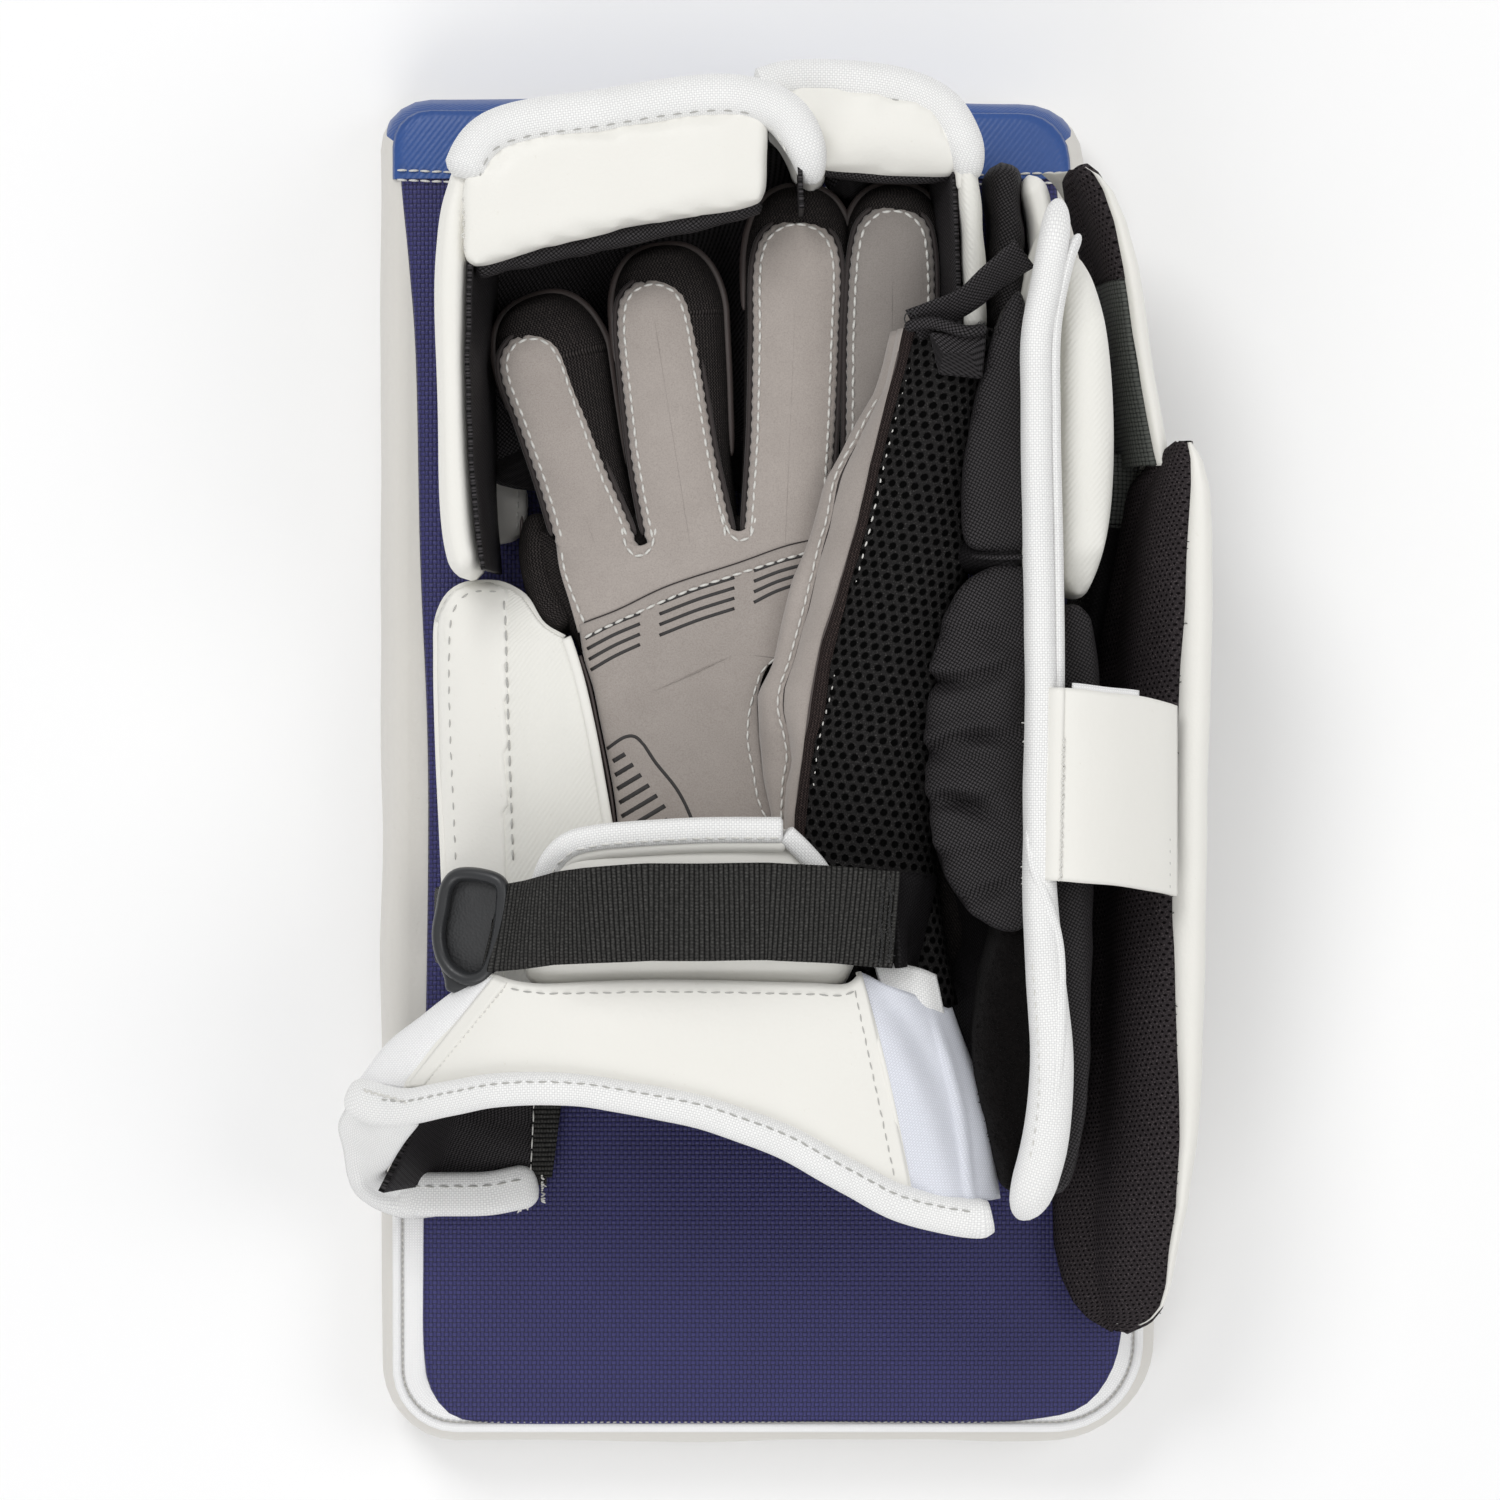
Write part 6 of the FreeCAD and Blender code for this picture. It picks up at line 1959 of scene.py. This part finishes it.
def make_cuff_roll():
    """The roll of padding under the wrist strap, bound along its top edge."""
    outline = smooth([(-61, -52.4), (-58.4, -38), (-54.4, -25.4), (-51.6, -20), (-45.0, -16.4),
        (-37, -15.2), (-17, -14.0), (3.6, -14.2), (8.6, -19.6), (13.4, -24.6), (18.6, -36), (21.4, -50),
        (18, -54.4), (3.9, -54.8), (-29, -54.4), (-57, -54.6)], 170, True)

    def settled(p):
        end = 0.004 * max(0.0, abs(p.x + 18) - 22) ** 2
        return (0, 0, (0.4 * ripple(p, 16, 2) - 0.10 * max(0.0, -46 - p.y) ** 1.6) - end)

    roll = pad("cuff_roll", outline, (95, 104.5), 1.0, (2.6, 4.0, 3.2), settled)
    finish_piece(roll, "cuff_flap", WHITE_LEATHER, ["cuff_roll_pad"])
    bind = smooth([(-57.2, -30, 99.5), (-54.0, -22.4, 101.5), (-49.6, -18.4, 103.6), (-43.5, -16.8, 105),
        (-36, -16, 106), (-17, -14.9, 107), (3.8, -14.8, 107)], 110)
    tape = sweep("cuff_roll_binding", bind, oval(6.6, 5.4, 20, 3), scale=tapered(0.012, 0.75))
    finish_piece(tape, "cuff_flap", WHITE_WOVEN)
    end = smooth([(4.2, -15.6, 106.4), (8.8, -20, 105), (13.4, -25.6, 103), (17.5, -35, 101)], 50)
    finish_piece(sweep("cuff_roll_end_binding", end, oval(5.2, 4.4, 18, 3), scale=tapered(0.03, 0.7)),
        "cuff_flap", WHITE_WOVEN)
    line = settle([p + Vector((0.4, -2.0, 0)) for p in bind[10:]], tape, 0.1)
    sew("cuff_roll_stitches", line, 3.2, 2.2, 0.26, "cuff_flap", WHITE_THREAD)
    ridge = [p + Vector((1.0, -3.6, -1.4)) for p in bind[4:]]
    finish_piece(sweep("cuff_roll_ridge", ridge, oval(4.0, 4.6, 14), scale=tapered(0.03)), "cuff_flap",
        WHITE_LEATHER)


def back_lining_point(v, u):
    """A point on the lining of the cuff's back, which is folded and rises at one side."""
    y = -56 - 53 * v
    x = -100 + 26 * (1 - v) + (42 - 26 * (1 - v)) * u
    lift = 26 * max(0.0, 1 - u * 3.4) ** 1.5 * v
    fold = 1.1 * math.sin((x * 0.5 + y * 0.9) / 3.4 + 1.5 * ripple((x, y, 0), 14, 2))
    return Vector((x, y, 36.2 + lift + fold * 0.55))


def make_cuff_back():
    """The back half of the cuff: the curl at the little-finger side, the lining and the under hem."""
    outer = smooth([(-106.6, -85.5, 78), (-109.2, -90.5, 71), (-108.4, -97.5, 62), (-107.8, -105, 54),
        (-106.3, -109.8, 47.5), (-101.9, -113.7, 42), (-94.3, -116.6, 38.0), (-88, -116.4, 34.6)], 70)
    inner = smooth([(-88.6, -88.6, 90), (-93.0, -94.0, 80), (-97.2, -99.6, 67), (-99.8, -103.1, 56),
        (-98.6, -105.4, 48), (-95.6, -106.6, 43), (-91, -107.0, 39), (-87, -107.6, 35)], 70)
    rows = []
    for a, b in zip(outer, inner):
        row = []
        for k in range(16):
            t = k / 15
            p = a.lerp(b, t)
            crease = 0.7 * math.sin(3 * t * PI + 0.06 * p.y)
            row.append(p + Vector((-0.8, -0.5, 1.6)) * math.sin(PI * t)
                + UP * (crease + 0.5 * ripple(p, 8, 3)))
        rows.append(row)
    curl = skin("cuff_curl", rows)
    thicken(curl, 3.2)
    hinge = ("board", "cuff_flap", (-102, -108, 46), (-100, -90, 76))
    finish_piece(curl, hinge, WHITE_WOVEN)
    hem = smooth([(-97, -110.0, 43.0), (-91, -111.2, 40.2), (-84, -111.4, 38.6), (-73, -111.2, 37.8),
        (-65.5, -109.8, 37.8), (-60.2, -108.8, 37.6)], 70)
    band = sweep("cuff_back_hem", hem, oval(11.6, 5.2, 24, 2.8), scale=tapered(0.12, 0.25))
    finish_piece(band, "board", WHITE_WOVEN, ["cuff_back_binding"])
    line = settle([p + Vector((0, 2.2, 0)) for p in hem[8:-6]], band, 0.12)
    sew("cuff_back_hem_stitches", line, 3.6, 2.2, 0.26, "board", GREY_THREAD)
    sheet("cuff_back_lining", grid(30, 34, back_lining_point), 1.6, "board", BLACK_NYLON,
        ["cuff_back_panel"])
    strip = panel([(-59.8, -58, 36.8), (-50.5, -58, 35.8)], [(-62.2, -107, 37.4), (-56.6, -107, 36.6)], 12,
        30, 0.0, 0.2)
    sheet("cuff_back_tape", strip, 1.6, "board", WEBBING)
    edge = [row[0] + UP * 1.0 for row in strip]
    sew("cuff_back_tape_stitches", edge, 3.4, 3.0, 0.2, "board", WHITE_THREAD)
    frays = []
    for _ in range(20):
        start = Vector((-59.4, rng.uniform(-113.4, -106.4), rng.uniform(36.6, 39.6)))
        bend = random_vector((0.4, 1.5), (-0.8, 0.8), (-0.4, 0.6))
        frays.append(strand(start, bend, 5, 0.5, 0.4, scale=tapered(0.3, 0.4)))
    for _ in range(6):
        start = Vector((rng.uniform(-66, -62), -114.4, 37))
        bend = Vector((rng.uniform(-1.4, 0.4), rng.uniform(-2.2, -0.8), 0.3))
        frays.append(strand(start, bend, 5, 0.6, 0.5, scale=tapered(0.3, 0.4)))
    finish_piece(join("cuff_back_frayed_end", frays), "board", WHITE_THREAD)


# ---------------------------------------------------------------- the wrist strap and its ring
def make_strap():
    """The wrist strap of webbing, its end stitching and the tab that anchors it."""
    arch = smooth([(32, 0, 108.2), (14, 0, 112.5), (-12, 0, 115.5), (-40, 0, 114.5), (-60, 0, 108.8),
        (-68, 0, 103.2), (-71.4, 0, 100.4), (-72.2, 0, 97.6), (-70.4, 0, 95.6)], 150)
    xs = (-80, -70, -55, -30, 0, 18, 33)
    ys = (-40.2, -39.4, -36.8, -35.2, -35.0, -36.0, -37.4)
    path = [Vector((p.x, float(np.interp(p.x, xs, ys)) + 0.2 * ripple(p, 18), p.z)) for p in arch]

    def width(t):
        return (float(np.interp(t, (0, 0.6, 0.85, 1), (1.0, 1.0, 0.95, 0.9))), 1.0)

    webbing_strap = sweep("strap_webbing", path, oval(24.4, 2.1, STRAP_SIDES, 9), scale=width)
    lay_ribs(webbing_strap, path)
    reshape(webbing_strap, lambda p: (0.29 * (p.y + 51) * min(1.0, max(0.0, (-46 - p.x) / 22)), 0, 0))
    finish_piece(webbing_strap, "wrist_strap", WEBBING, ["wrist_strap"])
    rows = []
    for x in (30.6, 28.4, 26.2):
        line = [Vector((x + 0.35 * (1 if k % 2 else -1), -26.6 - 21.4 * k / 30, 110.2)) for k in range(31)]
        rows.append(stitches("row", line, 1.7, 1.6, 0.3))
    for _ in range(110):
        start = Vector((rng.uniform(24.8, 31.6), rng.uniform(-48.4, -26.4), 110.0))
        bend = random_vector((-0.9, 0.9), (-0.9, 0.9), (0.3, 1.0))
        rows.append(sweep("fuzz", [start, start + bend * 0.6, start + bend], oval(0.22, 0.22, 4)))
    finish_piece(join("strap_end_stitching", rows), "wrist_strap", BLACK_THREAD)
    # painted shade: the anchor tape is in the darker nylon, so it reads as the shadow beside the strap's end
    tape = smooth([(31.6, -37.6, 106.6), (34.4, -37.4, 103.0), (37.0, -37.8, 97.2), (39.6, -38.4, 91)], 40)
    finish_piece(sweep("strap_anchor_tape", tape, oval(24, 2.4, 30, 8)), "cuff_flap", SHADOW_NYLON,
        ["strap_anchor_tab"])


STRAP_SIDES = 40  # points round the strap's section


def lay_ribs(obj, path):
    """A UV map that runs along the strap, so that its ribs lie across it."""
    run = [0.0]
    for a, b in zip(path, path[1:]):
        run.append(run[-1] + (b - a).length)
    layer = obj.data.uv_layers["cloth"]
    for loop in obj.data.loops:
        co = obj.data.vertices[loop.vertex_index].co / MM
        layer.data[loop.index].uv = (co.y, run[min(len(path) - 1, loop.vertex_index // STRAP_SIDES)])


def ring_level(x):
    """How high the strap ring stands, as it leans across x."""
    low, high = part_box("strap_ring")
    return (low.z + high.z) / (2 * MM) + 0.36 * (x + 75)


def make_ring():
    """The moulded ring: a smooth rim round a pebbled grip, with a lug at its lower corner."""
    corners = [(-81.0, -28.8), (-78.6, -26.4), (-72, -26.4), (-67.4, -28.4), (-67.0, -34), (-69.0, -46),
        (-71.6, -51.4), (-75.5, -52.6), (-79.4, -51.0), (-82.2, -47.4), (-83.4, -41.6), (-82.4, -35)]
    line = [Vector((p.x, p.y, ring_level(p.x))) for p in smooth(corners, 110, True)]
    rim = sweep("ring_rim", line, oval(3.5, 6.0, 20, 2.6), closed=True)
    finish_piece(rim, "strap_ring", PLASTIC, ["strap_ring"])
    inner = [p - UP * 2.0 for p in offset(line, 1.0)]
    dish = pillow("ring_grip", inner, (Vector((-75.5, -44, ring_level(-75.5) - 2)),
        Vector((-75.5, -34, ring_level(-75.5) - 2))), 0.9, 0.9, 8, 6.0)
    finish_piece(dish, "strap_ring", PEBBLED)
    outline = smooth([(-83.0, -48.5), (-82.0, -53.0), (-81.4, -55.6), (-78.0, -56.2), (-71.8, -53.6),
        (-74.6, -51.6), (-79, -50)], 60, True)
    lug = pillow("ring_lug", [p + UP * (ring_level(p.x) - 1.6) for p in outline],
        (Vector((-80, -53, ring_level(-80) - 1.6)), Vector((-76, -53.4, ring_level(-76) - 1.6))), 2.2, 2.0,
        7, 3.0)
    finish_piece(lug, "strap_ring", PLASTIC)
    path = smooth([(-80.6, -40, 86.5), (-82.8, -40, 80), (-84.6, -40, 70), (-85.5, -40, 58),
        (-85.6, -40, 44), (-85.4, -40, 34.6)], 60)
    keeper = sweep("keeper_strap", path, oval(19, 1.8, 30, 8), up=Vector((-1, 0, 0.2)))
    finish_piece(keeper, "board", WEBBING, ["keeper_webbing"])


def make_wrist_web():
    """The black nylon that closes the gap between the cuff and the guard, in the darker nylon as painted
    shade.
    """

    def place(v, t):
        y = -14 - 88 * v
        x = 34 + 0.10 * (-14 - y) + (60 - 34 - 0.06 * (-14 - y)) * t
        z = 62 + 20 * t**1.5 + 1.6 * math.sin((x * 0.6 + y * 0.8) / 3.0) * math.sin(PI * t)
        return Vector((x, y, z + 0.8 * ripple((x, y, 0), 9, 4)))

    sheet("wrist_web_nylon", grid(30, 16, place), 1.6, "thumb_side", SHADOW_NYLON)


make_wrist_panel()
make_wrist_web()
make_hood_tab()
make_cuff()
make_cuff_back()
make_strap()
make_ring()


# ---------------------------------------------------------------- light, floor and camera
def make_stage():
    """A plain pale floor, wide enough to fill the view."""
    size = 3000
    corners = [(-size, -size, 0), (size, -size, 0), (size, size, 0), (-size, size, 0)]
    floor = mesh_object("floor", corners, [(0, 1, 2, 3)])
    s = Shader("floor", 0.85, 0.1)
    s.colour(s.mix(s.noise(s.world(900)), (0.97, 0.97, 0.97), (0.95, 0.95, 0.955)))
    floor.data.materials.append(s.material)


def area_light(name, place, aim, size, power):
    """A round light that faces a point. Places are in millimetres."""
    data = bpy.data.lights.new(name, "AREA")
    data.shape = "DISK"
    data.size = size * MM
    data.energy = power
    light = bpy.data.objects.new(name, data)
    light.location = Vector(place) * MM
    light.rotation_euler = (Vector(aim) - Vector(place)).to_track_quat("-Z", "Y").to_euler()
    bpy.context.scene.collection.objects.link(light)


def make_light():
    """A white studio: an even surround and three wide lights."""
    world = bpy.data.worlds.new("studio")
    world.use_nodes = True
    world.node_tree.nodes["Background"].inputs["Color"].default_value = (1, 1, 1, 1)
    world.node_tree.nodes["Background"].inputs["Strength"].default_value = 0.56
    bpy.context.scene.world = world
    area_light("key", (-500, 900, 1500), (0, 0, 40), 700, 9.0)
    area_light("fill", (900, 100, 1300), (0, 0, 40), 900, 4)
    area_light("front", (-300, -1000, 1000), (0, -60, 40), 900, 4.6)


def make_camera():
    """Straight down from 1.6 m, framing a square 400 mm wide at the board's mid height."""
    height, level, width, sensor = 1600.0, 15.0, 400.0, 36.0
    data = bpy.data.cameras.new("camera")
    data.sensor_width = sensor
    data.lens = sensor * (height - level) / width
    camera = bpy.data.objects.new("camera", data)
    camera.location = Vector((-4.5, 5.3, height)) * MM
    bpy.context.scene.collection.objects.link(camera)
    bpy.context.scene.camera = camera
    bpy.context.scene.view_settings.view_transform = "Standard"


make_stage()
make_light()
make_camera()
